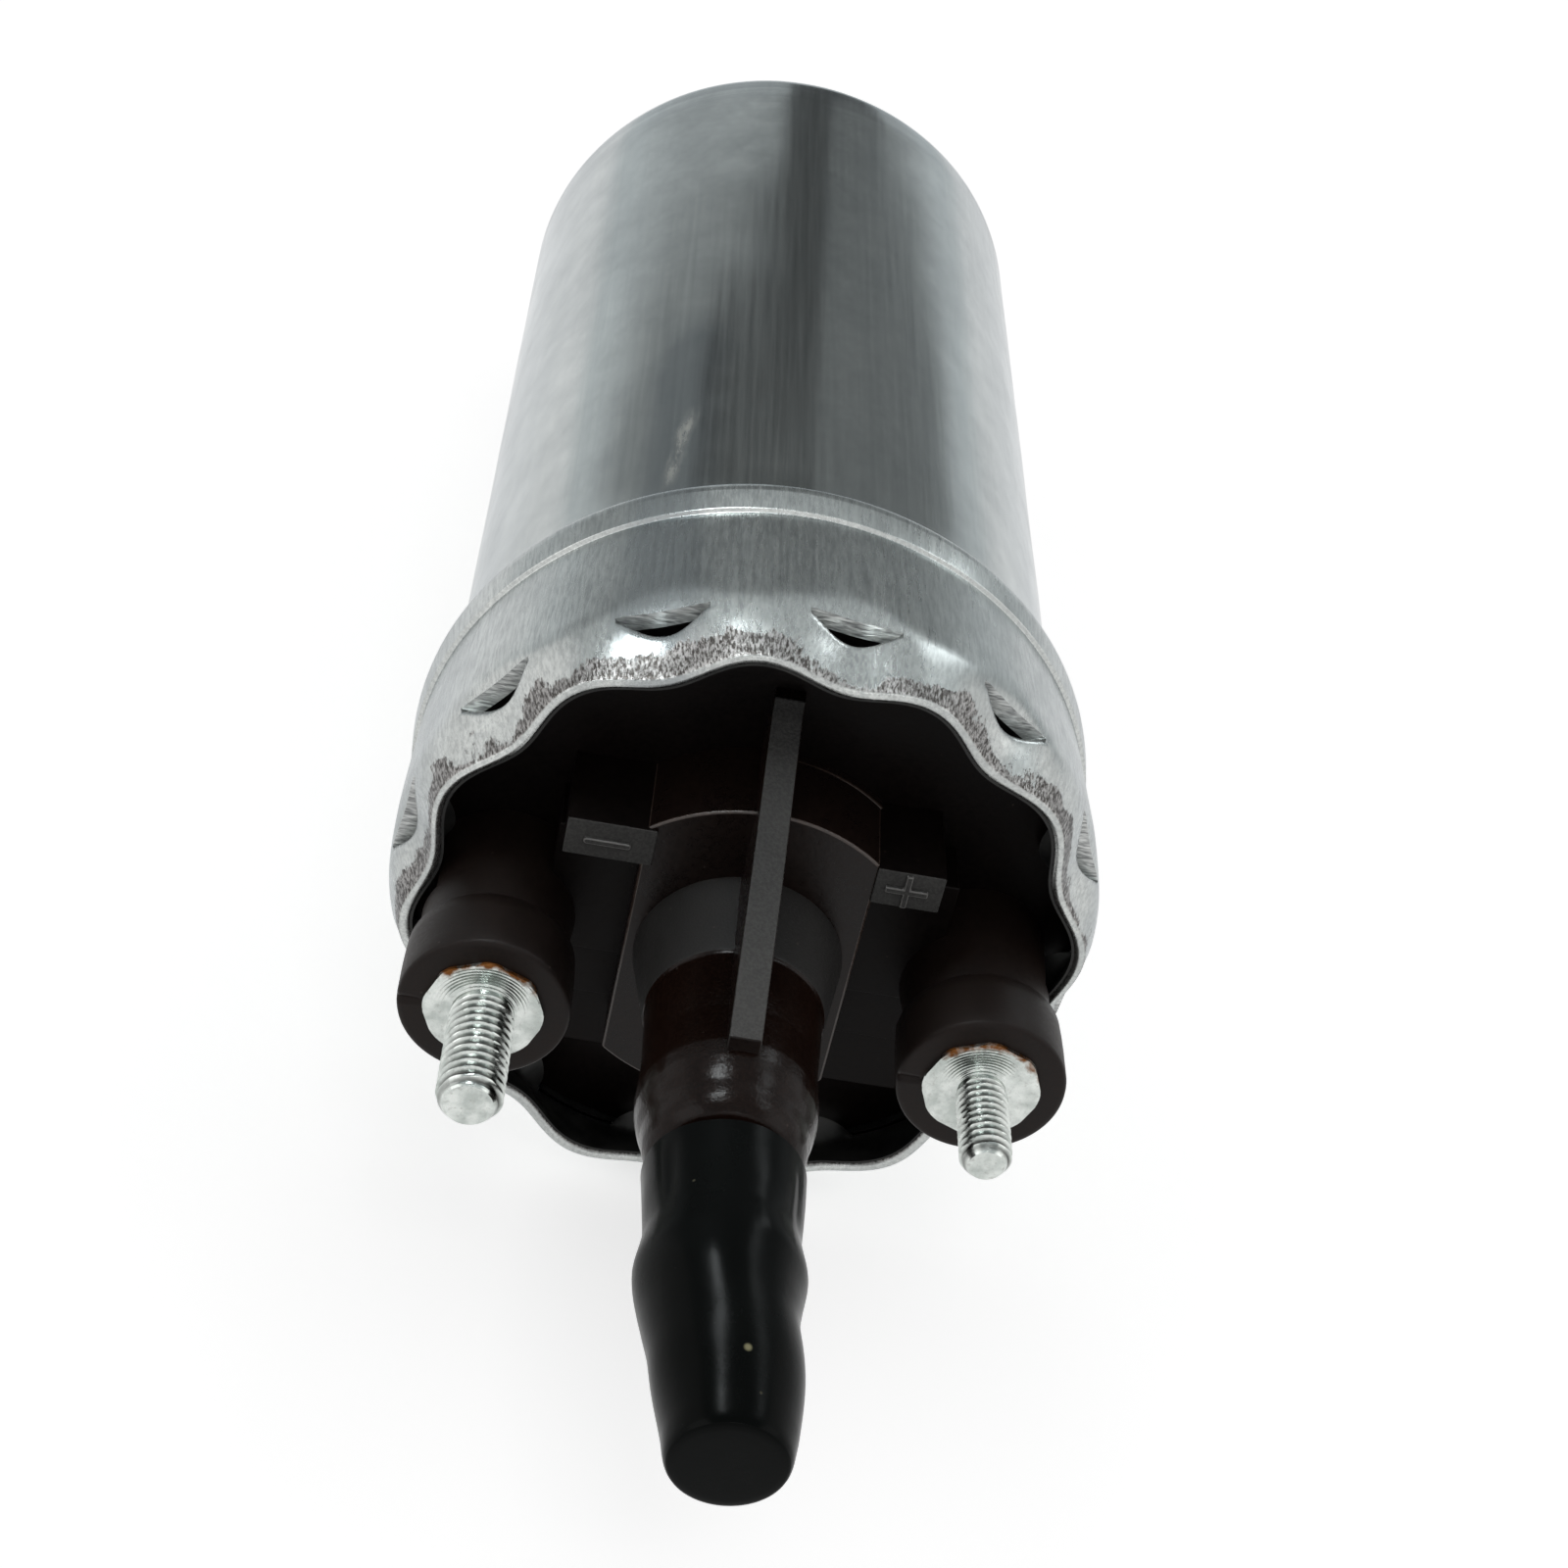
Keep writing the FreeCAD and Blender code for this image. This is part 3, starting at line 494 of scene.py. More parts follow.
def cut_metal():
    """Sheared edge of the sheet, hatched by the tool."""
    f = Finish("cut_metal", Metallic=1.0)
    hatch = f.noise(0.22, (6, 1, 1), 2.0, 0.6, 0.3)
    tint = f.mix(f.span(hatch, 0.35, 0.65), (0.22, 0.225, 0.225), (0.6, 0.61, 0.6))
    return f.done(tint, f.span(hatch, 0.3, 0.7, 0.5, 0.32), f.bump(hatch, 0.05))


def moulded(name, dark, light, low, high, relief, size, gloss, fade=0.0):
    """Dark moulding compound with flow clouds and a fine relief. fade lightens it to the outlet."""
    f = Finish(name, Specular_IOR_Level=gloss)
    cloud = f.noise(7.0, (1, 2, 1), 5.0)
    grain = f.noise(size, (1, 1, 1), 3.0, 0.6)
    speck = f.span(f.grains(2.6), 0.0, 0.055, 1.0, 0.0)
    mottle = f.plus(f.span(cloud, 0.35, 0.65, 0.0, 0.5), f.span(grain, 0.4, 0.62, 0.0, 0.5))
    tint = f.mix(mottle, dark, light)
    if fade:
        paler = tuple(min(c * (1.0 + 1.2 * fade), 1.0) for c in light)
        tint = f.mix(f.span(f.level(), 62.0, 86.0, 0.0, fade), tint, f.mix(mottle, light, paler))
    tint = f.mix(f.times(speck, 0.25), tint, (0.16, 0.13, 0.11))
    return f.done(tint, f.span(f.plus(cloud, grain), 0.7, 1.3, low, high), f.bump(grain, relief, 0.8))


def plated(name, x, y, radius, root, tip):
    """Zinc plating on a terminal stud: turning rings, painted shade in the thread's roots, grime,
    local old flux.
    """
    f = Finish(name, Metallic=1.0)
    away = f.away(x, y)
    level = f.level()
    cloud = f.noise(1.4, (1, 1, 1), 4.0)
    rings = f.math("SINE", f.times(away, 24.0))
    tint = f.mix(f.span(cloud, 0.35, 0.65), (0.44, 0.475, 0.45), (0.7, 0.73, 0.7))
    thread = f.span(level, 76.7, 77.3)
    # Painted shade: the thread's roots are painted near black where shade falls.
    painted_shade = f.times(f.span(away, root + 0.04, radius - 0.12, 1.0, 0.0), thread)
    painted_shade = f.times(painted_shade, f.span(level, tip - 0.5, tip - 0.1, 1.0, 0.0))
    tint = f.mix(f.times(painted_shade, 0.97), tint, (0.022, 0.021, 0.019))
    grime = f.times(f.span(f.noise(0.5, (1, 1, 1), 4.0, 0.7), 0.54, 0.72), 0.4)
    tint = f.mix(grime, tint, (0.2, 0.19, 0.17))
    height = f.plus(f.part("Z"), f.span(f.noise(2.4), 0.3, 0.7, -2.0, 2.0))
    upper = f.span(height, y + 1.6, y + 3.4)
    edge = f.plus(away, f.span(f.noise(0.9), 0.3, 0.7, -0.35, 0.35))
    flux = f.times(upper, f.span(thread, 0.0, 1.0, 1.0, 0.0))
    flux = f.times(f.span(edge, 4.1, 4.5), flux)
    tint = f.mix(flux, tint, (0.16, 0.062, 0.018))
    rough = f.plus(f.span(cloud, 0.3, 0.7, 0.14, 0.28), f.times(flux, 0.3))
    face = f.bump(f.times(rings, f.span(thread, 0.0, 1.0, 1.0, 0.0)), 0.014, 0.7)
    return f.done(tint, rough, f.bump(f.noise(0.25), 0.015, 0.6, face))


def rubber(name, tint, low, high, gloss=0.4, crumb=None):
    """Soft rubber with a dull bloom and dust specks, and one larger crumb at a chosen point."""
    f = Finish(name, Specular_IOR_Level=gloss)
    bloom = f.noise(6.0, (1, 2, 1), 5.0, 0.6)
    speck = f.span(f.grains(3.4), 0.0, 0.045, 1.0, 0.0)
    pale = tuple(c * 1.5 + 0.0006 for c in tint)
    colour = f.mix(f.span(bloom, 0.35, 0.7), tint, pale)
    colour = f.mix(f.times(speck, 0.5), colour, (0.2, 0.19, 0.13))
    if crumb:
        x, y, z = crumb
        near = f.length(f.minus(f.level(), z), f.away(x, y))
        colour = f.mix(f.span(near, 0.16, 0.34, 0.8, 0.0), colour, (0.36, 0.34, 0.2))
    relief = f.bump(f.noise(0.6, (1, 1, 1), 4.0), 0.012, 0.7)
    return f.done(colour, f.span(bloom, 0.3, 0.7, low, high), relief)


def worked(name, dark, light, metallic, low, high, size=1.0, stretch=(1, 1, 1), relief=0.01):
    """Plain worked metal or fired material with its own grain."""
    f = Finish(name, Metallic=metallic)
    cloud = f.noise(size * 8, stretch, 5.0)
    grain = f.noise(size * 0.4, stretch, 3.0, 0.65)
    tint = f.mix(f.span(f.plus(cloud, grain), 0.7, 1.3), dark, light)
    return f.done(tint, f.span(grain, 0.3, 0.7, low, high), f.bump(grain, relief, 0.7))


def layered(name, dark, light, pitch, metallic, relief):
    """Stacked sheets or wound wire: fine bands across the axis."""
    f = Finish(name, Metallic=metallic)
    band = f.math("SINE", f.times(f.level(), 2 * math.pi / pitch))
    band = f.span(band, -0.6, 0.2)
    cloud = f.noise(3.0, (1, 1, 1), 4.0)
    tint = f.mix(f.times(band, f.span(cloud, 0.2, 0.6)), dark, light)
    return f.done(tint, f.span(cloud, 0.3, 0.7, 0.35, 0.5), f.bump(band, relief, 0.8))


def winding():
    """Enamelled copper wire laid in coils."""
    f = Finish("wire", Metallic=0.85, Coat_Weight=0.3)
    slant = f.plus(f.part("X"), f.plus(f.part("Z"), f.times(f.level(), 0.25)))
    band = f.span(f.math("SINE", f.times(slant, 11.0)), -0.7, 0.6)
    tint = f.mix(band, (0.16, 0.045, 0.02), (0.58, 0.22, 0.09))
    return f.done(tint, f.span(f.noise(2.0), 0.3, 0.7, 0.28, 0.42), f.bump(band, 0.12))


# Can
def lip_radius(level, wave):
    """Outer radius of the collar's end and the scalloped lip. wave is 1 at a crimp, 0 between."""
    levels = [
        (57.5, 28.19, 28.19, 1.0), (60.0, 28.24, 28.1, 1.6), (61.8, 27.9, 26.9, 1.8),
        (63.6, 27.35, 25.9, 1.4), (lip_end, 26.75, 25.15, 1.0),
    ]
    stops = [(z, lobe - (lobe - valley) * wave ** sharp) for z, lobe, valley, sharp in levels]
    return along(stops, level)


def lip_turns():
    """Angles of the can's columns, closer together across each lance, with their place in it."""
    share = [-lance_turn + i * lance_turn / lance_steps for i in range(2 * lance_steps)]
    gap = 360.0 / crimps - 2 * lance_turn
    share += [lance_turn + i * gap / gap_steps for i in range(gap_steps)]
    return [(crimp_turn + number * 360.0 / crimps + s, s) for number in range(crimps) for s in share]


def press(offset, level):
    """How far the lance has pushed the lip in, below the shear line."""
    across = 1 - (offset / lance_turn) ** 2
    if across <= 0.0:
        return 0.0
    down = (level - shear_level) / (lance_reach * across ** 0.8)
    return lance_depth * across ** 0.6 * max(1 - down, 0.0) ** 1.5


def dish(offset, level):
    """Wide shallow pull of the metal round a lance."""
    pitch = 360.0 / crimps
    near = ((offset + pitch / 2) % pitch - pitch / 2) / lance_turn
    return 0.28 * math.exp(-near * near * 1.1 - ((level - shear_level) / 1.5) ** 2)


def can_ring(mesh, turns, radius, level, inner=0.0, pressed=False):
    """One ring of the can's vertices. radius None follows the collar and lip. Large rings dent."""
    row = []
    for turn, offset in turns:
        angle = math.radians(turn)
        wave = (1 + math.cos(math.radians(offset * crimps))) / 2
        r = lip_radius(level, wave) if radius is None else radius
        if radius is None:
            r -= dish(offset, level)
        elif inner == 0.0 and r > dent_from:
            spot = Vector((math.cos(angle) * 2.0, math.sin(angle) * 2.0, level / 15.0))
            r -= dent_depth * max(0.5 + noise.noise(spot), 0.0)
        if pressed:
            r -= press(offset, level)
        r -= inner
        row.append(mesh.verts.new((r * math.cos(angle), r * math.sin(angle), level)))
    return row


def can_corner_points(inner):
    """Rounded corner between the can's back and its side."""
    radius = can_corner - inner
    x, z = can_radius - can_corner, can_back + can_corner
    angles = [math.radians(90.0 * number / 8) for number in range(9)]
    return [(x + radius * math.sin(angle), z - radius * math.cos(angle)) for angle in angles]


def can_shell():
    """The whole can: back, side, flare, collar, lanced lip and rolled rim."""
    mesh = bmesh.new()
    turns = lip_turns()
    outer = [(r, can_back) for r in (back_hole + 0.15, 12.0, 15.0, 18.0, 21.0)]
    outer += can_corner_points(0.0)
    outer += [(can_radius, -42.0 + 4.0 * i) for i in range(20)]
    outer += filleted([
        (can_radius, 36.0, 0), (can_radius, flare_start, 1.4), (bead_radius, flare_end, 1.4),
        (bead_radius, flare_end + 1.3, 0.8), (bead_radius - 0.2, bead_end, 0.12),
        (neck_radius, neck_level, 0.12), (neck_radius + 0.04, 48.4, 0),
    ])
    outer += [(neck_radius + 0.035 * (z - neck_level), z) for z in (50.0, 52.0, 54.0, 56.0)]
    inner = filleted([
        (collar_inner, 56.0, 0), (collar_inner, flare_end + 0.7, 0.2),
        (can_inner, flare_start + 0.7, 2.6), (can_inner, 38.0, 0), (can_inner, 0.0, 0),
    ])
    inner += can_corner_points(can_radius - can_inner)[::-1]
    inner += [(back_hole, can_back + back_sheet), (back_hole, can_back + 0.15)]
    collar = [57.5, 58.3, 59.0, 59.6, 60.0, shear_level]
    sheets = [(z, 1.1 + 0.25 * smooth(2 * (z - 59.8))) for z in collar[::-1]]
    hidden = [can_ring(mesh, turns, None, z, sheet) for z, sheet in sheets]
    hidden += [can_ring(mesh, turns, r, z, 0.001) for r, z in inner]
    rows = [can_ring(mesh, turns, r, z) for r, z in outer]
    rows += [can_ring(mesh, turns, None, z) for z in collar]
    skin(mesh, hidden + rows[:1], inner_slot)
    skin(mesh, rows)
    drops = [0, 0.1, 0.2, 0.35, 0.5, 0.7, 0.9, 1.1, 1.35, 1.6, 1.9, 2.2, 2.5, 2.8,
             3.1, 3.4, 3.7, 4.0, 4.3, 4.6, 4.85, 5.1]
    lip = [shear_level + drop for drop in drops]
    edge = [(65.6, 0.06), (lip_end, 0.25), (65.68, 0.5), (65.58, 0.72), (65.4, lip_sheet - 0.12)]
    tail = [can_ring(mesh, turns, None, z, 0.0, True) for z in lip]
    tail += [can_ring(mesh, turns, None, z, inset) for z, inset in edge]
    within = [can_ring(mesh, turns, None, z, lip_sheet + 0.1, True) for z in lip[::-1]]
    skin(mesh, tail)
    skin(mesh, tail[-1:] + within, inner_slot)
    count = len(turns)
    for upper, lower in ((rows[-1], hidden[0]), (tail[0], within[-1])):
        for i in range(count):
            if abs(turns[i][1] + lance_turn / (2 * lance_steps)) < lance_turn:
                j = (i + 1) % count
                mesh.faces.new((upper[i], upper[j], lower[j], lower[i])).material_index = cut_slot
    bmesh.ops.remove_doubles(mesh, verts=mesh.verts, dist=0.002)
    shell = piece(
        "can_shell", mesh, "housing", [can_metal(), cut_metal(), painted_shade_metal()],
        crease=38.0)
    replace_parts(shell, "housing_can")


# Outlet cover
def cover_disc(mesh):
    """Flange, spigot and seal groove of the cover."""
    outline = [
        (7.0, cover_under), (21.05, cover_under), (21.05, 37.2), (24.65, 37.2), (24.65, 37.8),
        (22.55, 37.8), (22.55, 40.22), (24.65, 40.22), (24.65, 42.95), (26.95, 44.25),
        (26.95, floor_level), (7.0, floor_level),
    ]
    turned(mesh, eased(outline, 0.15, True), 144, closed=True)


def brush_guides(mesh):
    """Square guides for the brushes, behind the cover."""
    for side in (-1, 1):
        xs = (side * 10.9, side * 21.9)
        block(mesh, xs, (2.6, 4.1), (guide_back, guide_foot))
        block(mesh, xs, (-4.1, -2.6), (guide_back, guide_foot))
        block(mesh, xs, (-2.6, 2.6), (guide_back, guide_back + 1.5))
        block(mesh, xs, (-2.6, 2.6), (35.8, guide_foot))
        block(mesh, (side * 21.9, side * 23.2), (-4.1, 4.1), (guide_back, guide_foot))


def lean(level):
    """Sideways set of the stub and gusset, which stand a little crooked."""
    return along([(57.0, 0.0), (60.0, -0.22), (68.0, -0.35), (75.0, -0.45), (87.0, -0.7),
                  (91.5, -0.62), (103.0, -0.3), (110.0, -0.1)], level)


def leaned(mesh):
    """Sets every vertex sideways by the lean at its level."""
    for vertex in mesh.verts:
        vertex.co.x += lean(vertex.co.z)


def platform(mesh):
    """Round platform with two flats."""
    reach = math.acos(flat_half / platform_radius)
    outline = []
    for start in (reach, math.pi + reach):
        for i in range(33):
            angle = start + (math.pi - 2 * reach) * i / 32
            outline.append((platform_radius * math.cos(angle), platform_radius * math.sin(angle)))
    prism(mesh, outline, floor_level - 1, platform_level)
    leaned(mesh)


def foot(mesh):
    """Low round step under the platform, its top edge painted lighter as a painted highlight."""
    turned(mesh, eased([(0.0, 59.0), (14.2, 59.0), (14.2, 60.4), (0.0, 60.4)], 0.25), 144)
    # Painted highlight: the top edge ring takes the lighter edge finish.
    for face in mesh.faces:
        middle = face.calc_center_median()
        if middle.z > 60.2 and math.hypot(middle.x, middle.y) > 13.9:
            face.material_index = 1


def stub(mesh):
    """Outlet stub from the bush tower to the nipple's tip, with the valve chamber inside."""
    outside = [
        (7.6, 39.8), (7.6, 60.0), (8.1, 60.5), (8.1, platform_level - 0.1), (8.1, 67.9),
        (6.9, 74.75), (6.7, 75.05), (6.62, 78.0), (6.5, 80.8), (6.56, 82.6), (6.7, 84.6),
        (6.62, 86.0), (6.38, 87.2), (6.08, 88.1), (5.97, 88.9), (5.88, 89.4), (5.6, 90.1),
        (5.2, 90.7), (4.5, 91.1), (3.98, 91.2),
    ]
    barbs = [(4.0, 102.6), (4.5, 102.6), (4.5, 103.1), (4.0, 105.0), (4.0, 108.0), (4.5, 108.0),
             (4.5, 108.5), (3.6, 110.0)]
    inside = [(2.5, 110.0), (2.5, 84.0), (4.6, 84.0), (4.6, 61.0), (2.6, 61.0), (2.6, 47.2),
              (5.55, 47.2), (5.55, 39.8)]
    turned(mesh, eased(outside + barbs + inside, 0.2, True), 128, closed=True)
    for face in mesh.faces:
        middle = face.calc_center_median()
        if platform_level < middle.z < 74.8 and math.hypot(middle.x, middle.y) > 6.0:
            face.material_index = 1
    leaned(mesh)


def rib(mesh):
    """Upright gusset. Its outer face is spark eroded."""
    corners = [
        (0.0, 58.0), (20.0, 58.0), (20.0, 60.8), (19.2, 61.4), (7.7, 85.6), (6.0, 85.9), (0.0, 81.0),
    ]
    capped(mesh, [[mesh.verts.new((x, y, z)) for y, z in corners] for x in (-1.2, 1.2)])
    for face in mesh.faces:
        middle = face.calc_center_median()
        if abs(middle.x) < 0.1 and middle.y > 6.0 and 60.0 < middle.z < 85.0:
            face.material_index = 1
    bmesh.ops.subdivide_edges(
        mesh, edges=[e for e in mesh.edges if e.calc_length() > 15.0], cuts=6)
    leaned(mesh)


def boss(mesh, side):
    """Terminal boss: neck, wider head, face, and the nick left by the mould's parting line."""
    profile = [
        (6.1, 58.0), (6.1, 62.0), (5.95, 65.0), (5.8, relief_level), (5.8, relief_level + 0.02),
        (5.65, 69.0), (5.6, 69.8), (6.15, 70.0), (6.4, 70.3), (6.46, 71.5), (6.5, 73.0),
        (6.5, 74.5), (6.5, 75.7), (6.44, 75.95), (6.28, 76.08), (6.0, boss_level), (5.4, boss_level),
        (4.9, boss_level), (4.3, boss_level), (3.0, 75.9),
    ]
    rows = turned(mesh, profile + [(0.0, 75.9)], 180, (side * boss_x, boss_y))
    for number, row in enumerate(rows[:-1]):
        for i, vertex in enumerate(row):
            turn = abs(i * 2.0 - 182.0)
            if vertex.co.z > 70.2 and turn < 4.0 and profile[number][0] > 4.4:
                vertex.co.z -= 0.28 * (1 - turn / 4.0)
            reach = math.hypot(vertex.co.x, vertex.co.y)
            if floor_level < vertex.co.z < relief_level + 0.01 and reach > relief_radius:
                vertex.co.x *= relief_radius / reach
                vertex.co.y *= relief_radius / reach
    # Painted highlight: the step under the head takes the lighter edge finish.
    for face in mesh.faces:
        if 69.75 < face.calc_center_median().z < 70.2:
            face.material_index = 1


def pad(mesh, xs):
    """Pad under a polarity mark, with a finish of its own on its face."""
    block(mesh, xs, pad_depth, (58.0, pad_level), 1)


def outlet_cover():
    """The moulded cover, in pieces that sit in one another."""
    tones = {
        "gloss": ((0.0052, 0.003, 0.0024), (0.0105, 0.0056, 0.0041), 0.24, 0.36, 0.02, 0.55, 0.2),
        "bulb": ((0.0062, 0.003, 0.0022), (0.013, 0.0062, 0.0042), 0.15, 0.24, 0.035, 0.32, 0.12),
        "eroded": ((0.0055, 0.0053, 0.005), (0.045, 0.044, 0.042), 0.6, 0.85, 0.08, 0.24, 0.3, 0.9),
        "band": ((0.0058, 0.0052, 0.0048), (0.0165, 0.015, 0.014), 0.5, 0.75, 0.05, 0.2, 0.25),
        # The edge tone is a painted highlight, for the platform's bevels, the foot's top edge and the
        # step under each boss head.
        "edge": ((0.02, 0.0125, 0.0095), (0.06, 0.041, 0.033), 0.3, 0.45, 0.02, 0.5, 0.5),
        "matt": ((0.0062, 0.0037, 0.003), (0.0125, 0.0074, 0.0058), 0.4, 0.55, 0.01, 0.3, 0.16),
        # Painted highlight: the pale tone on the polarity marks' bevelled rims.
        "mark_highlight": ((0.09, 0.087, 0.084), (0.15, 0.146, 0.14), 0.4, 0.6, 0.03, 0.16, 0.5),
        # The darkest tone is painted shade, for the recessed disc, the webs and the pads' sides.
        "painted_shade": ((0.0022, 0.0014, 0.0012), (0.0048, 0.003, 0.0025), 0.35, 0.5, 0.02, 0.5, 0.08),
    }
    made = {name: moulded("cover_" + name, *values) for name, values in tones.items()}
    parts = [
        ("disc", [cover_disc, brush_guides], ["painted_shade"], 0.0, -1),
        ("foot", [foot], ["gloss", "edge"], 0.0, -1),
        ("platform", [platform], ["gloss", "edge"], 0.2, 1),
        ("stub", [stub], ["bulb", "band"], 0.0, -1),
        ("rib", [rib], ["gloss", "eroded"], 0.12, -1),
        ("boss_negative", [lambda m: boss(m, -1)], ["matt", "edge"], 0.0, -1),
        ("boss_positive", [lambda m: boss(m, 1)], ["matt", "edge"], 0.0, -1),
        ("pad_negative", [lambda m: pad(m, (-15.2, -8.4))], ["painted_shade", "eroded"], 0.12, -1),
        ("pad_positive", [lambda m: pad(m, (8.4, 13.7))], ["painted_shade", "eroded"], 0.12, -1),
        ("webs", [webs], ["painted_shade"], 0.15, -1),
        ("marks", [marks], ["eroded", "mark_highlight"], 0.1, 1),
    ]
    for name, makers, finishes, bevel, edge_finish in parts:
        mesh = bmesh.new()
        for make in makers:
            make(mesh)
        part = piece(
            "cover_" + name, mesh, "housing", [made[finish] for finish in finishes],
            bevel, edge_finish=edge_finish)
        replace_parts(part, "outlet_cover")


def webs(mesh):
    """Stepped webs between the platform's flats and the bosses."""
    for side in (-1, 1):
        for top, high, low in ((64.6, 7.9, -3.9), (63.8, -3.85, -9.0), (62.9, -8.95, -15.0)):
            block(mesh, (side * 8.5, side * 15.6), (low, high), (58.0, top))


def marks(mesh):
    """Polarity marks on the pads: a bar with round ends, and a cross."""
    bar = []
    for end, begin in ((-1, math.pi / 2), (1, -math.pi / 2)):
        for i in range(9):
            angle = begin + math.pi * i / 8
            bar.append((-12.0 + end * 1.55 + 0.25 * math.cos(angle), 9.4 + 0.25 * math.sin(angle)))
    x, y, a, b, w = 10.9, 9.45, 1.65, 1.5, 0.25
    cross = [(w, w), (w, b), (-w, b), (-w, w), (-a, w), (-a, -w), (-w, -w), (-w, -b), (w, -b),
             (w, -w), (a, -w), (a, w)]
    for outline in (bar, [(x + p, y + q) for p, q in cross]):
        prism(mesh, outline, pad_level - mark_depth, pad_level + mark_height)


# Studs
def stud(name, spec, node):
    """Terminal stud with a rolled thread, a turned flange and a chamfered end."""
    mesh = bmesh.new()
    side, radius, length, pitch = (spec[key] for key in ("side", "radius", "length", "pitch"))
    tip = boss_level + length
    root = radius - 0.6 * pitch
    under = boss_level - flange_sheet
    start = boss_level + flange_face
    columns = [2 * math.pi * i / 64 for i in range(64)]
    shank = [(0.0, lug_level), (lug_radius, lug_level), (lug_radius, cover_under),
             (shank_radius, cover_under), (shank_radius, under)]
    flange = [(flange_radius, under), (flange_radius, boss_level + 0.22), (4.5, boss_level + 0.34),
              (4.3, start), (3.6, start), (3.0, start - 0.02), (radius + 0.25, start),
              (radius + 0.05, start + 0.15)]
    rows = []
    for r, z in shank + flange:
        row = []
        for angle in columns if r else columns[:1]:
            turn = math.degrees(angle) % 45.0 - 22.5
            reach = min(r, octagon_reach / math.cos(math.radians(turn)))
            row.append((reach * math.cos(angle), reach * math.sin(angle), z))
        rows.append(row)
    rise = pitch / 10
    count = int((length - 0.4) / rise)
    for number in range(count + 1):
        z = start + 0.2 + (length - 0.6) * number / count
        row = []
        for angle in columns:
            phase = ((z - start) / pitch - angle / (2 * math.pi)) % 1.0
            ridge = smooth(min(abs(phase - 0.5) * 2.5, 1.0))
            r = radius - (radius - root) * ridge
            fade = smooth((z - start - 0.1) / pitch)
            r = root + 0.2 * pitch + (r - root - 0.2 * pitch) * fade
            chamfer = radius - 0.6 * max(0.0, (z - (tip - 0.85)) / 0.8)
            r = min(r, chamfer)
            row.append((r * math.cos(angle), r * math.sin(angle), z))
        rows.append(row)
    crown = radius - 0.72
    for share, drop in ((1.0, 0.0), (0.8, -0.05), (0.5, -0.02), (0.25, 0.02), (0.0, 0.0)):
        ring = columns if share else columns[:1]
        z = tip - 0.04 + drop * 0.6
        rows.append([(crown * share * math.cos(a), crown * share * math.sin(a), z) for a in ring])
    made = [[mesh.verts.new((side * boss_x + x, boss_y + y, z)) for x, y, z in row] for row in rows]
    skin(mesh, made)
    finish = plated(name + "_zinc", side * boss_x, boss_y, radius, root, tip)
    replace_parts(piece(name, mesh, "housing", [finish], crease=50.0), node)


# Dust cap
def dust_cap():
    """Soft cap, a little crooked, swollen where the nipple's ridges stand under it."""
    outside = [(91.9, 5.83), (94.0, 5.7), (96.5, 5.55), (98.4, 5.5), (99.4, 5.62), (101.2, 5.84),
               (102.4, 5.78), (103.8, 5.62), (105.6, 5.4), (107.8, 5.2), (110.2, 5.0), (112.3, 4.76),
               (114.2, 4.5), (115.6, 4.26), (116.3, 4.1), (116.62, 3.92)]
    set_over = [(91.9, -0.66), (96.0, -0.6), (99.6, -0.62), (103.0, -0.64), (105.6, -0.42),
                (108.0, -0.08), (110.2, 0.16), (112.3, 0.36), (114.5, 0.5)]
    mesh = bmesh.new()
    steps = 96
    levels = [91.95 + 0.45 * i for i in range(52)] + [115.35, 115.8, 116.1, 116.35, 116.52, 116.6]
    shell = [(4.8, 92.4), (4.8, 91.98), (5.2, cap_rim), (5.5, cap_rim), (5.7, 91.94)]
    shell += [(along(outside, z), z) for z in levels]
    shell += [(3.75, 116.66)] + [(r, cap_tip) for r in (3.3, 2.4, 1.5, 0.7, 0.0)]
    bore = [(0.0, bore_end), (3.0, bore_end), (3.3, 113.0), (4.0, 110.6), (4.55, 108.6), (4.6, 106.0),
            (4.75, 102.0), (4.75, 95.0)]
    rows = []
    for number, (r, z) in enumerate(bore + shell):
        outer = number >= len(bore)
        row = []
        for i in range(steps if r else 1):
            angle = 2 * math.pi * i / steps
            right = hump(math.sin(angle / 2), 0.0, 0.42)
            swell = hump(z, 101.3, 1.7) + 0.8 * hump(z, 110.5, 2.2)
            swell -= 0.9 * hump(z, 105.6, 1.5)
            soft = noise.noise(Vector((math.cos(angle) * 1.1, math.sin(angle) * 1.1, z / 4.0)))
            top = hump(math.degrees(angle), 90.0, 42.0)
            fill = hump(z, 98.3, 1.6) - hump(z, 101.6, 1.5)
            loose = smooth((116.4 - z) / 1.5) * (0.12 * right * swell + 0.09 * soft + 0.1 * top * fill)
            bearing = 90.0 - math.degrees(angle) % 360.0
            creases = sum(hump(bearing, place, 4.5) for place in (-49.0, 58.0))
            loose -= 0.13 * creases * smooth((z - 92.3) / 1.5) * smooth((99.0 - z) / 2.0)
            reach = r + loose if outer else r
            shift = along(set_over, z) if outer else lean(z)
            sag = -0.42 * smooth((z - 108.0) / 7.0) if outer else 0.0
            row.append(mesh.verts.new((
                shift + reach * math.cos(angle), sag + reach * math.sin(angle), z)))
        rows.append(row)
    skin(mesh, rows)
    finish = rubber("cap_rubber_black", (0.0009, 0.0014, 0.0012), 0.19, 0.32, 0.05, crumb_place)
    cap = piece("cap_soft", mesh, "dust_cap_body", [finish], crease=60.0)
    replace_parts(cap, "dust_cap")


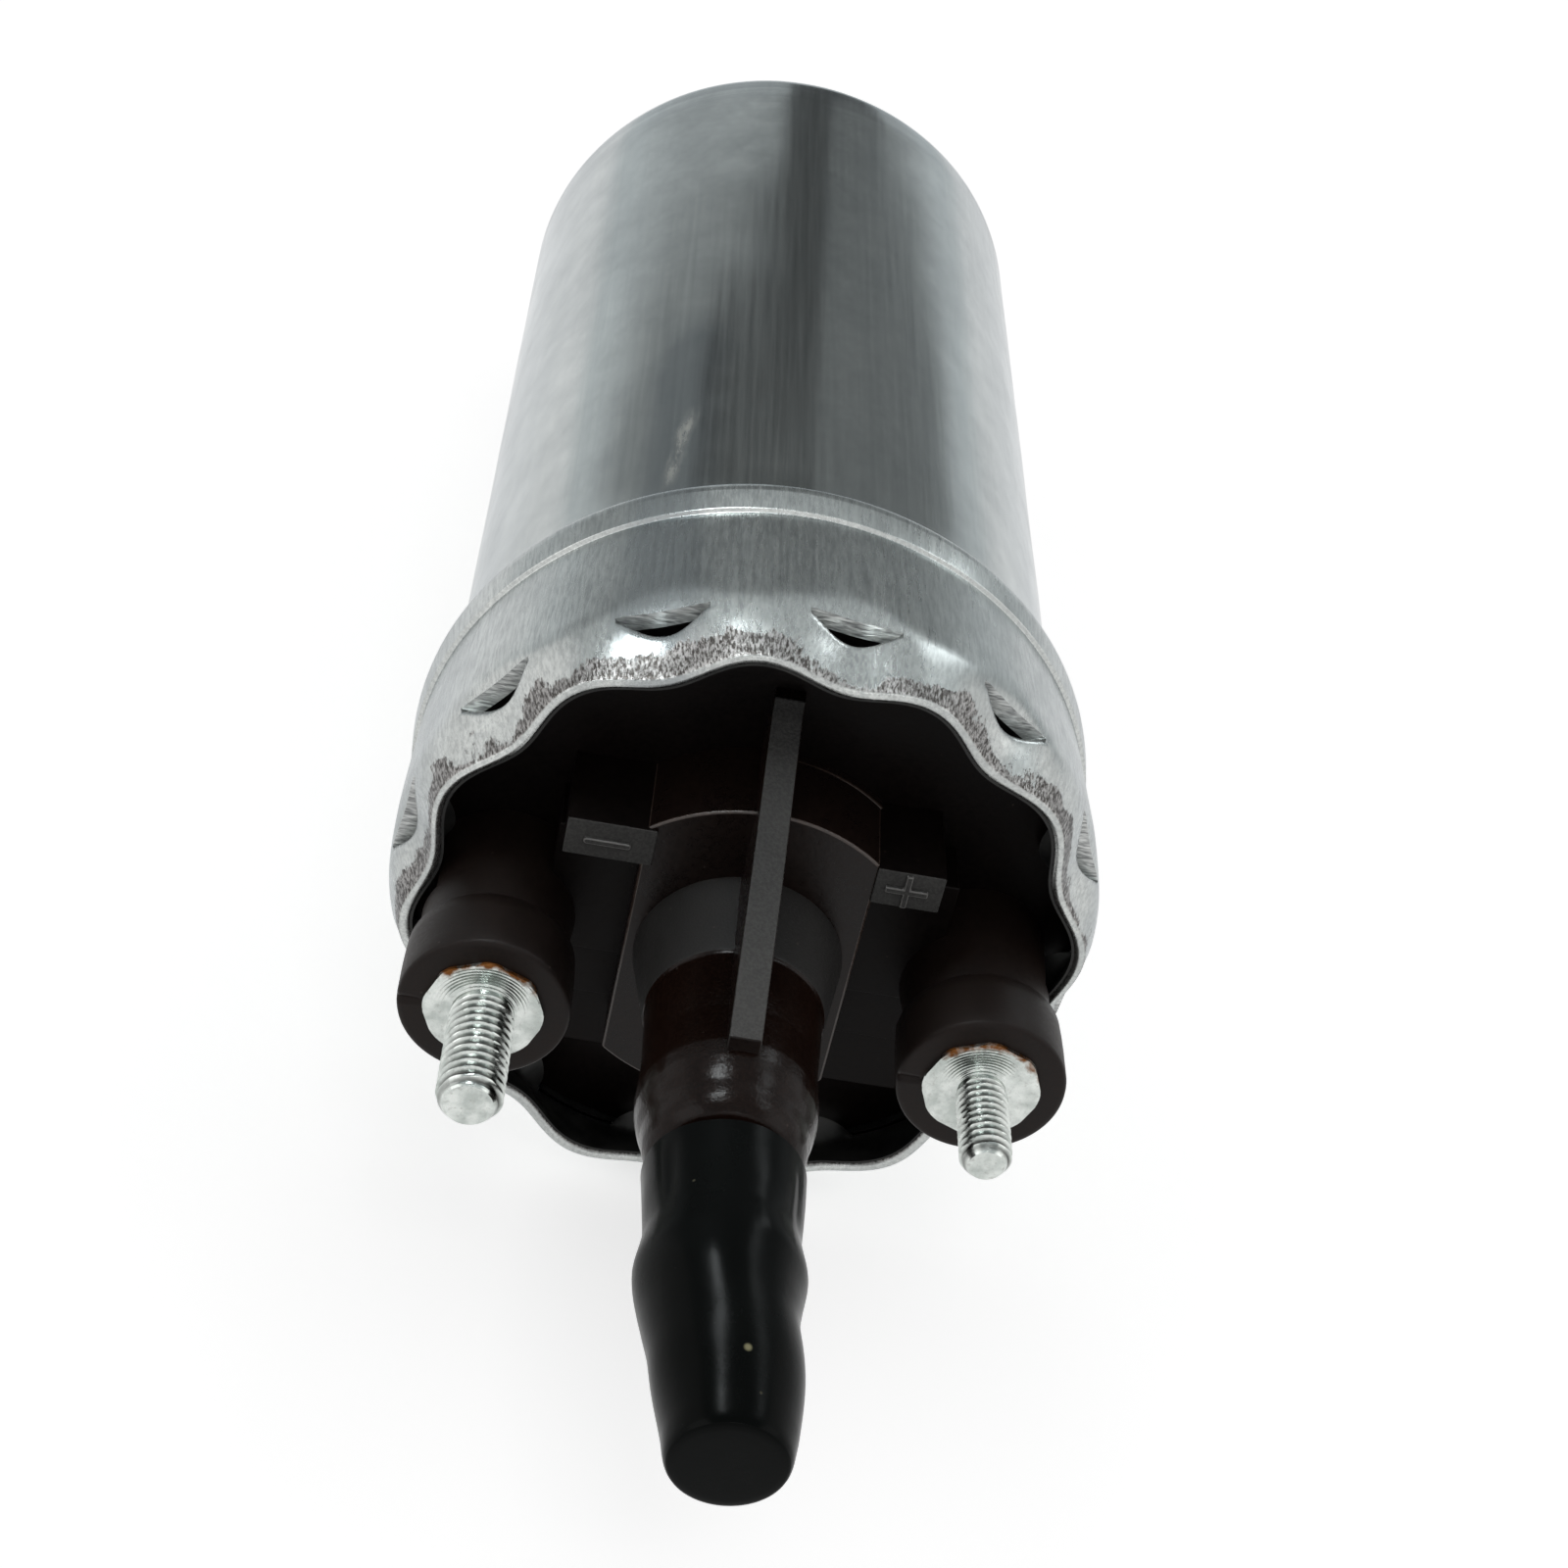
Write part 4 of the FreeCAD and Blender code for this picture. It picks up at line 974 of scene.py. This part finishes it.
# Springs and the CAD nodes inside
def coil(node, axis, fixed_low, turns, wire, finish):
    """Wound spring in the place of a CAD node's plain sleeve."""
    low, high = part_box(node)
    middle = (low + high) / 2
    length = high[axis] - low[axis]
    first, second = [number for number in range(3) if number != axis]
    reach = min(high[first] - low[first], high[second] - low[second]) / 2 - wire
    count = turns * coil_steps
    mesh = bmesh.new()
    rings = []
    for step in range(count + 1):
        share = step / count
        angle = 2 * math.pi * turns * share
        t = min(max((share - coil_lead) / (1 - 2 * coil_lead), 0.0), 1.0)
        rise = smooth(t) * coil_ease + t * (1 - coil_ease)
        ring = []
        for side in range(coil_sides):
            turn = 2 * math.pi * side / coil_sides
            radius = reach + wire * math.cos(turn)
            point = Vector(middle)
            point[first] += radius * math.cos(angle)
            point[second] += radius * math.sin(angle)
            point[axis] = low[axis] + wire + (length - 2 * wire) * rise + wire * math.sin(turn)
            ring.append(mesh.verts.new((point.x * 1000, point.z * 1000, -point.y * 1000)))
        rings.append(ring)
    capped(mesh, rings)
    spring = piece(node + "_coil", mesh, "housing", [finish], crease=80.0)
    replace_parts(spring, node)
    anchor = Vector(middle)
    anchor[axis] = low[axis] if fixed_low else high[axis]
    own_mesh(spring)


def coils():
    """The four springs."""
    wire = worked("spring_wire", (0.34, 0.34, 0.35), (0.6, 0.6, 0.61), 1.0, 0.2, 0.36, 0.5)
    coil("check_valve_spring", 1, True, 7, 0.00034, wire)
    coil("relief_spring", 1, False, 4, 0.0003, wire)
    coil("brush_spring_right", 0, False, 5, 0.00025, wire)
    coil("brush_spring_left", 0, True, 5, 0.00025, wire)


def node_finishes():
    """Gives each CAD node its material."""
    table = [
        (worked("bright_steel", (0.42, 0.43, 0.44), (0.62, 0.63, 0.64), 1.0, 0.22, 0.38),
         "magnet_clip_upper magnet_clip_lower armature_shaft pump_screws relief_valve"),
        (worked("motor_zinc", (0.38, 0.4, 0.41), (0.58, 0.6, 0.6), 1.0, 0.3, 0.46, 2.0), "flux_ring"),
        (worked("fired_ferrite", (0.03, 0.03, 0.032), (0.062, 0.06, 0.06), 0.0, 0.5, 0.75, 0.8),
         "magnet_left magnet_right"),
        (layered("sheet_iron", (0.1, 0.1, 0.105), (0.38, 0.37, 0.36), 0.5, 0.9, 0.05),
         "lamination_stack"),
        (worked("bar_copper", (0.46, 0.2, 0.11), (0.72, 0.36, 0.22), 1.0, 0.2, 0.4, 0.5, (1, 6, 1)),
         "commutator_bars"),
        (worked("sintered_bronze", (0.3, 0.19, 0.09), (0.48, 0.32, 0.17), 1.0, 0.4, 0.6, 0.4),
         "front_bush rear_bush"),
        (worked("pressed_carbon", (0.014, 0.013, 0.013), (0.034, 0.031, 0.03), 0.0, 0.45, 0.7, 0.5),
         "brush_left brush_right"),
        (worked("turned_brass", (0.58, 0.42, 0.18), (0.78, 0.6, 0.3), 1.0, 0.2, 0.36, 0.6, (4, 1, 4)),
         "check_valve_seat"),
        (worked("sintered_iron", (0.22, 0.22, 0.23), (0.4, 0.4, 0.41), 1.0, 0.34, 0.52, 0.6),
         "outlet_plate inlet_plate rotor_ring inner_rotor outer_rotor"),
        (worked("cast_aluminium", (0.52, 0.53, 0.54), (0.74, 0.75, 0.75), 1.0, 0.28, 0.5, 1.2),
         "inlet_cover"),
        (moulded("valve_acetal", (0.42, 0.4, 0.35), (0.55, 0.53, 0.47), 0.3, 0.5, 0.01, 0.4, 0.5),
         "front_thrust_washer rear_thrust_washer check_valve"),
        (moulded("hub_phenolic", (0.05, 0.028, 0.018), (0.09, 0.05, 0.03), 0.35, 0.5, 0.01, 0.4, 0.5),
         "commutator_hub"),
        (layered("strainer_weave", (0.3, 0.29, 0.24), (0.62, 0.6, 0.52), 0.5, 0.0, 0.15),
         "inlet_strainer"),
        (rubber("seal_rubber_black", (0.01, 0.01, 0.01), 0.4, 0.6),
         "inlet_seal_ring cover_seal_ring"),
        (layered("lead_braid", (0.22, 0.08, 0.03), (0.66, 0.34, 0.18), 0.5, 0.9, 0.15),
         "brush_lead_left brush_lead_right"),
        (winding(), "armature_winding"),
    ]
    for finish, names in table:
        for name in names.split():
            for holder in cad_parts[name].material_slots:
                holder.material = finish


# Studio
def shown_background(tree):
    """1 for the rays that show the white background: seen directly, in gloss or through glass."""
    rays = tree.nodes.new("ShaderNodeLightPath")
    total = rays.outputs["Is Camera Ray"]
    for name in ("Is Glossy Ray", "Is Transmission Ray"):
        node = tree.nodes.new("ShaderNodeMath")
        node.operation = "ADD"
        node.use_clamp = True
        tree.links.new(total, node.inputs[0])
        tree.links.new(rays.outputs[name], node.inputs[1])
        total = node.outputs[0]
    return total


def studio_floor():
    """Pale floor that keeps the pump's shadow and shows white where it is lit."""
    mesh = bmesh.new()
    bmesh.ops.create_grid(mesh, x_segments=2, y_segments=2, size=floor_half)
    floor = linked("floor", mesh)
    floor.location.z = cad_bounds[0][2] - floor_gap
    material = plain(
        "floor_pale", Base_Color=(0.86, 0.86, 0.86, 1), Roughness=0.9, Specular_IOR_Level=0.1,
        Emission_Color=(1, 1, 1, 1))
    tree = material.node_tree
    lift = tree.nodes.new("ShaderNodeMath")
    lift.operation = "MULTIPLY"
    tree.links.new(shown_background(tree), lift.inputs[0])
    lift.inputs[1].default_value = floor_glow
    tree.links.new(lift.outputs[0], tree.nodes["Principled BSDF"].inputs["Emission Strength"])
    floor.data.materials.append(material)


def studio_world():
    """White surroundings, dimmer where they only light the pump."""
    world = bpy.data.worlds.new("studio")
    world.use_nodes = True
    tree = world.node_tree
    back = tree.nodes["Background"]
    back.inputs["Color"].default_value = (1, 1, 1, 1)
    strength = tree.nodes.new("ShaderNodeMapRange")
    tree.links.new(shown_background(tree), strength.inputs[0])
    strength.inputs[3].default_value = world_unseen
    strength.inputs[4].default_value = world_seen
    tree.links.new(strength.outputs[0], back.inputs["Strength"])
    bpy.context.scene.world = world


def studio_flag(name, corners, shade):
    """Plain card that the pump mirrors. It shows only in gloss and throws no light or shadow."""
    mesh = bmesh.new()
    mesh.faces.new([mesh.verts.new(corner) for corner in corners])
    card = linked(name, mesh)
    card.data.materials.append(plain(
        name, Base_Color=(0, 0, 0, 1), Specular_IOR_Level=0.0,
        Emission_Color=(shade * 0.94, shade, shade * 1.02, 1), Emission_Strength=1.0))
    card.visible_camera = False
    card.visible_shadow = False
    card.visible_diffuse = False


def glow(name, place, size, strength):
    """Small bright card over the outlet, aimed at it. It gives the gloss its highlights."""
    turn = (Vector(outlet_target) - Vector(place)).to_track_quat("-Z", "Y")
    signs = ((-1, -1), (1, -1), (1, 1), (-1, 1))
    corners = [Vector((x * size[0] / 2, y * size[1] / 2, 0)) for x, y in signs]
    studio_flag(name, [Vector(place) + turn @ corner for corner in corners], strength)


def studio_room():
    """What the can mirrors: a grey room beyond the floor, and greyer and darker shapes overhead."""
    walls = (("room_foot", -0.03, 0.12, 0.74), ("room_low", 0.12, 0.42, 0.6),
             ("room_middle", 0.42, 0.68, 0.41), ("room_high", 0.68, 1.5, 0.58))
    for name, low, high, shade in walls:
        corners = [(-1.3, low), (1.5, low), (1.5, high), (-1.3, high)]
        studio_flag(name, [(x, far_wall, z) for x, z in corners], shade)
    near = [(-0.1, 0.475), (-0.223, 0.57), (-0.3, 0.61), (-0.42, 0.66), (-0.5, 0.6),
            (-0.36, 0.4), (-0.13, 0.345), (-0.08, 0.4)]
    core = [(0.0, 0.6), (-0.006, 0.49), (-0.026, 0.467), (-0.054, 0.459), (-0.101, 0.463),
            (-0.15, 0.45), (-0.165, 0.425), (-0.15, 0.37), (-0.02, 0.35), (0.05, 0.345),
            (0.3, 0.43), (0.42, 0.6), (0.375, 0.65), (0.318, 0.645), (0.282, 0.635),
            (0.225, 0.603), (0.176, 0.582), (0.151, 0.62), (0.1, 0.66)]
    side = [(0.24, 0.58), (0.185, 0.577), (0.14, 0.571), (0.084, 0.54), (0.065, 0.523), (0.05, 0.36),
            (0.3, 0.43), (0.42, 0.6), (0.375, 0.65), (0.34, 0.66)]
    above = [(-0.12, 0.4), (0.3, 0.43), (0.36, 0.325), (-0.2, 0.325)]
    top = [(-0.5, 0.34), (0.5, 0.34), (0.5, -0.5), (-0.5, -0.5)]
    cards = (("room_top", top, -0.008, 0.6), ("room_above", above, -0.004, 0.17),
             ("room_near", near, 0.0, 0.28), ("room_core", core, 0.004, 0.075),
             ("room_side", side, 0.008, 0.2))
    for name, outline, drop, shade in cards:
        studio_flag(name, [(x, y, mirror_height - mirror_fall * y - drop) for x, y in outline], shade)
    glow("glow_left", (-0.033, -0.066, 0.098), (0.034, 0.018), 23.0)
    glow("glow_right", (0.06, -0.063, 0.082), (0.035, 0.02), 4.0)
    glow("glow_cap", (0.148, 0.1, 0.17), (0.03, 0.12), 4.5)


def softbox(name, place, target, size, power):
    """Large area lamp aimed at a point."""
    light = bpy.data.lights.new(name, "AREA")
    light.shape = "RECTANGLE"
    light.size, light.size_y = size
    light.energy = power
    lamp = bpy.data.objects.new(name, light)
    lamp.location = place
    lamp.rotation_euler = (Vector(target) - Vector(place)).to_track_quat("-Z", "Y").to_euler()
    bpy.context.scene.collection.objects.link(lamp)


def studio_lights():
    """Soft light from both sides and from above the camera."""
    softbox("side_left", (-0.9, -0.35, 0.55), (0, -0.03, 0), (0.7, 0.7), 1.4)
    softbox("side_right", (0.9, -0.2, 0.6), (0, -0.03, 0), (0.7, 0.7), 1.1)
    softbox("over_camera", (0.05, -0.55, 0.75), (0, -0.06, 0), (0.3, 0.2), 0.6)


def camera():
    """Camera at the photograph's angle."""
    data = bpy.data.cameras.new("camera")
    data.lens = camera_lens
    data.sensor_width = 36.0
    data.clip_start = 0.01
    view = bpy.data.objects.new("camera", data)
    turn = Matrix((camera_right, camera_up, camera_back)).transposed().to_4x4()
    view.matrix_world = Matrix.Translation(camera_place) @ turn
    bpy.context.scene.collection.objects.link(view)
    bpy.context.scene.camera = view


can_shell()
outlet_cover()
stud("stud_negative", negative_stud, "negative_stud")
stud("stud_positive", positive_stud, "positive_stud")
dust_cap()
coils()
node_finishes()
studio_floor()
studio_room()
studio_world()
studio_lights()
camera()
bpy.context.scene.view_settings.view_transform = "Standard"
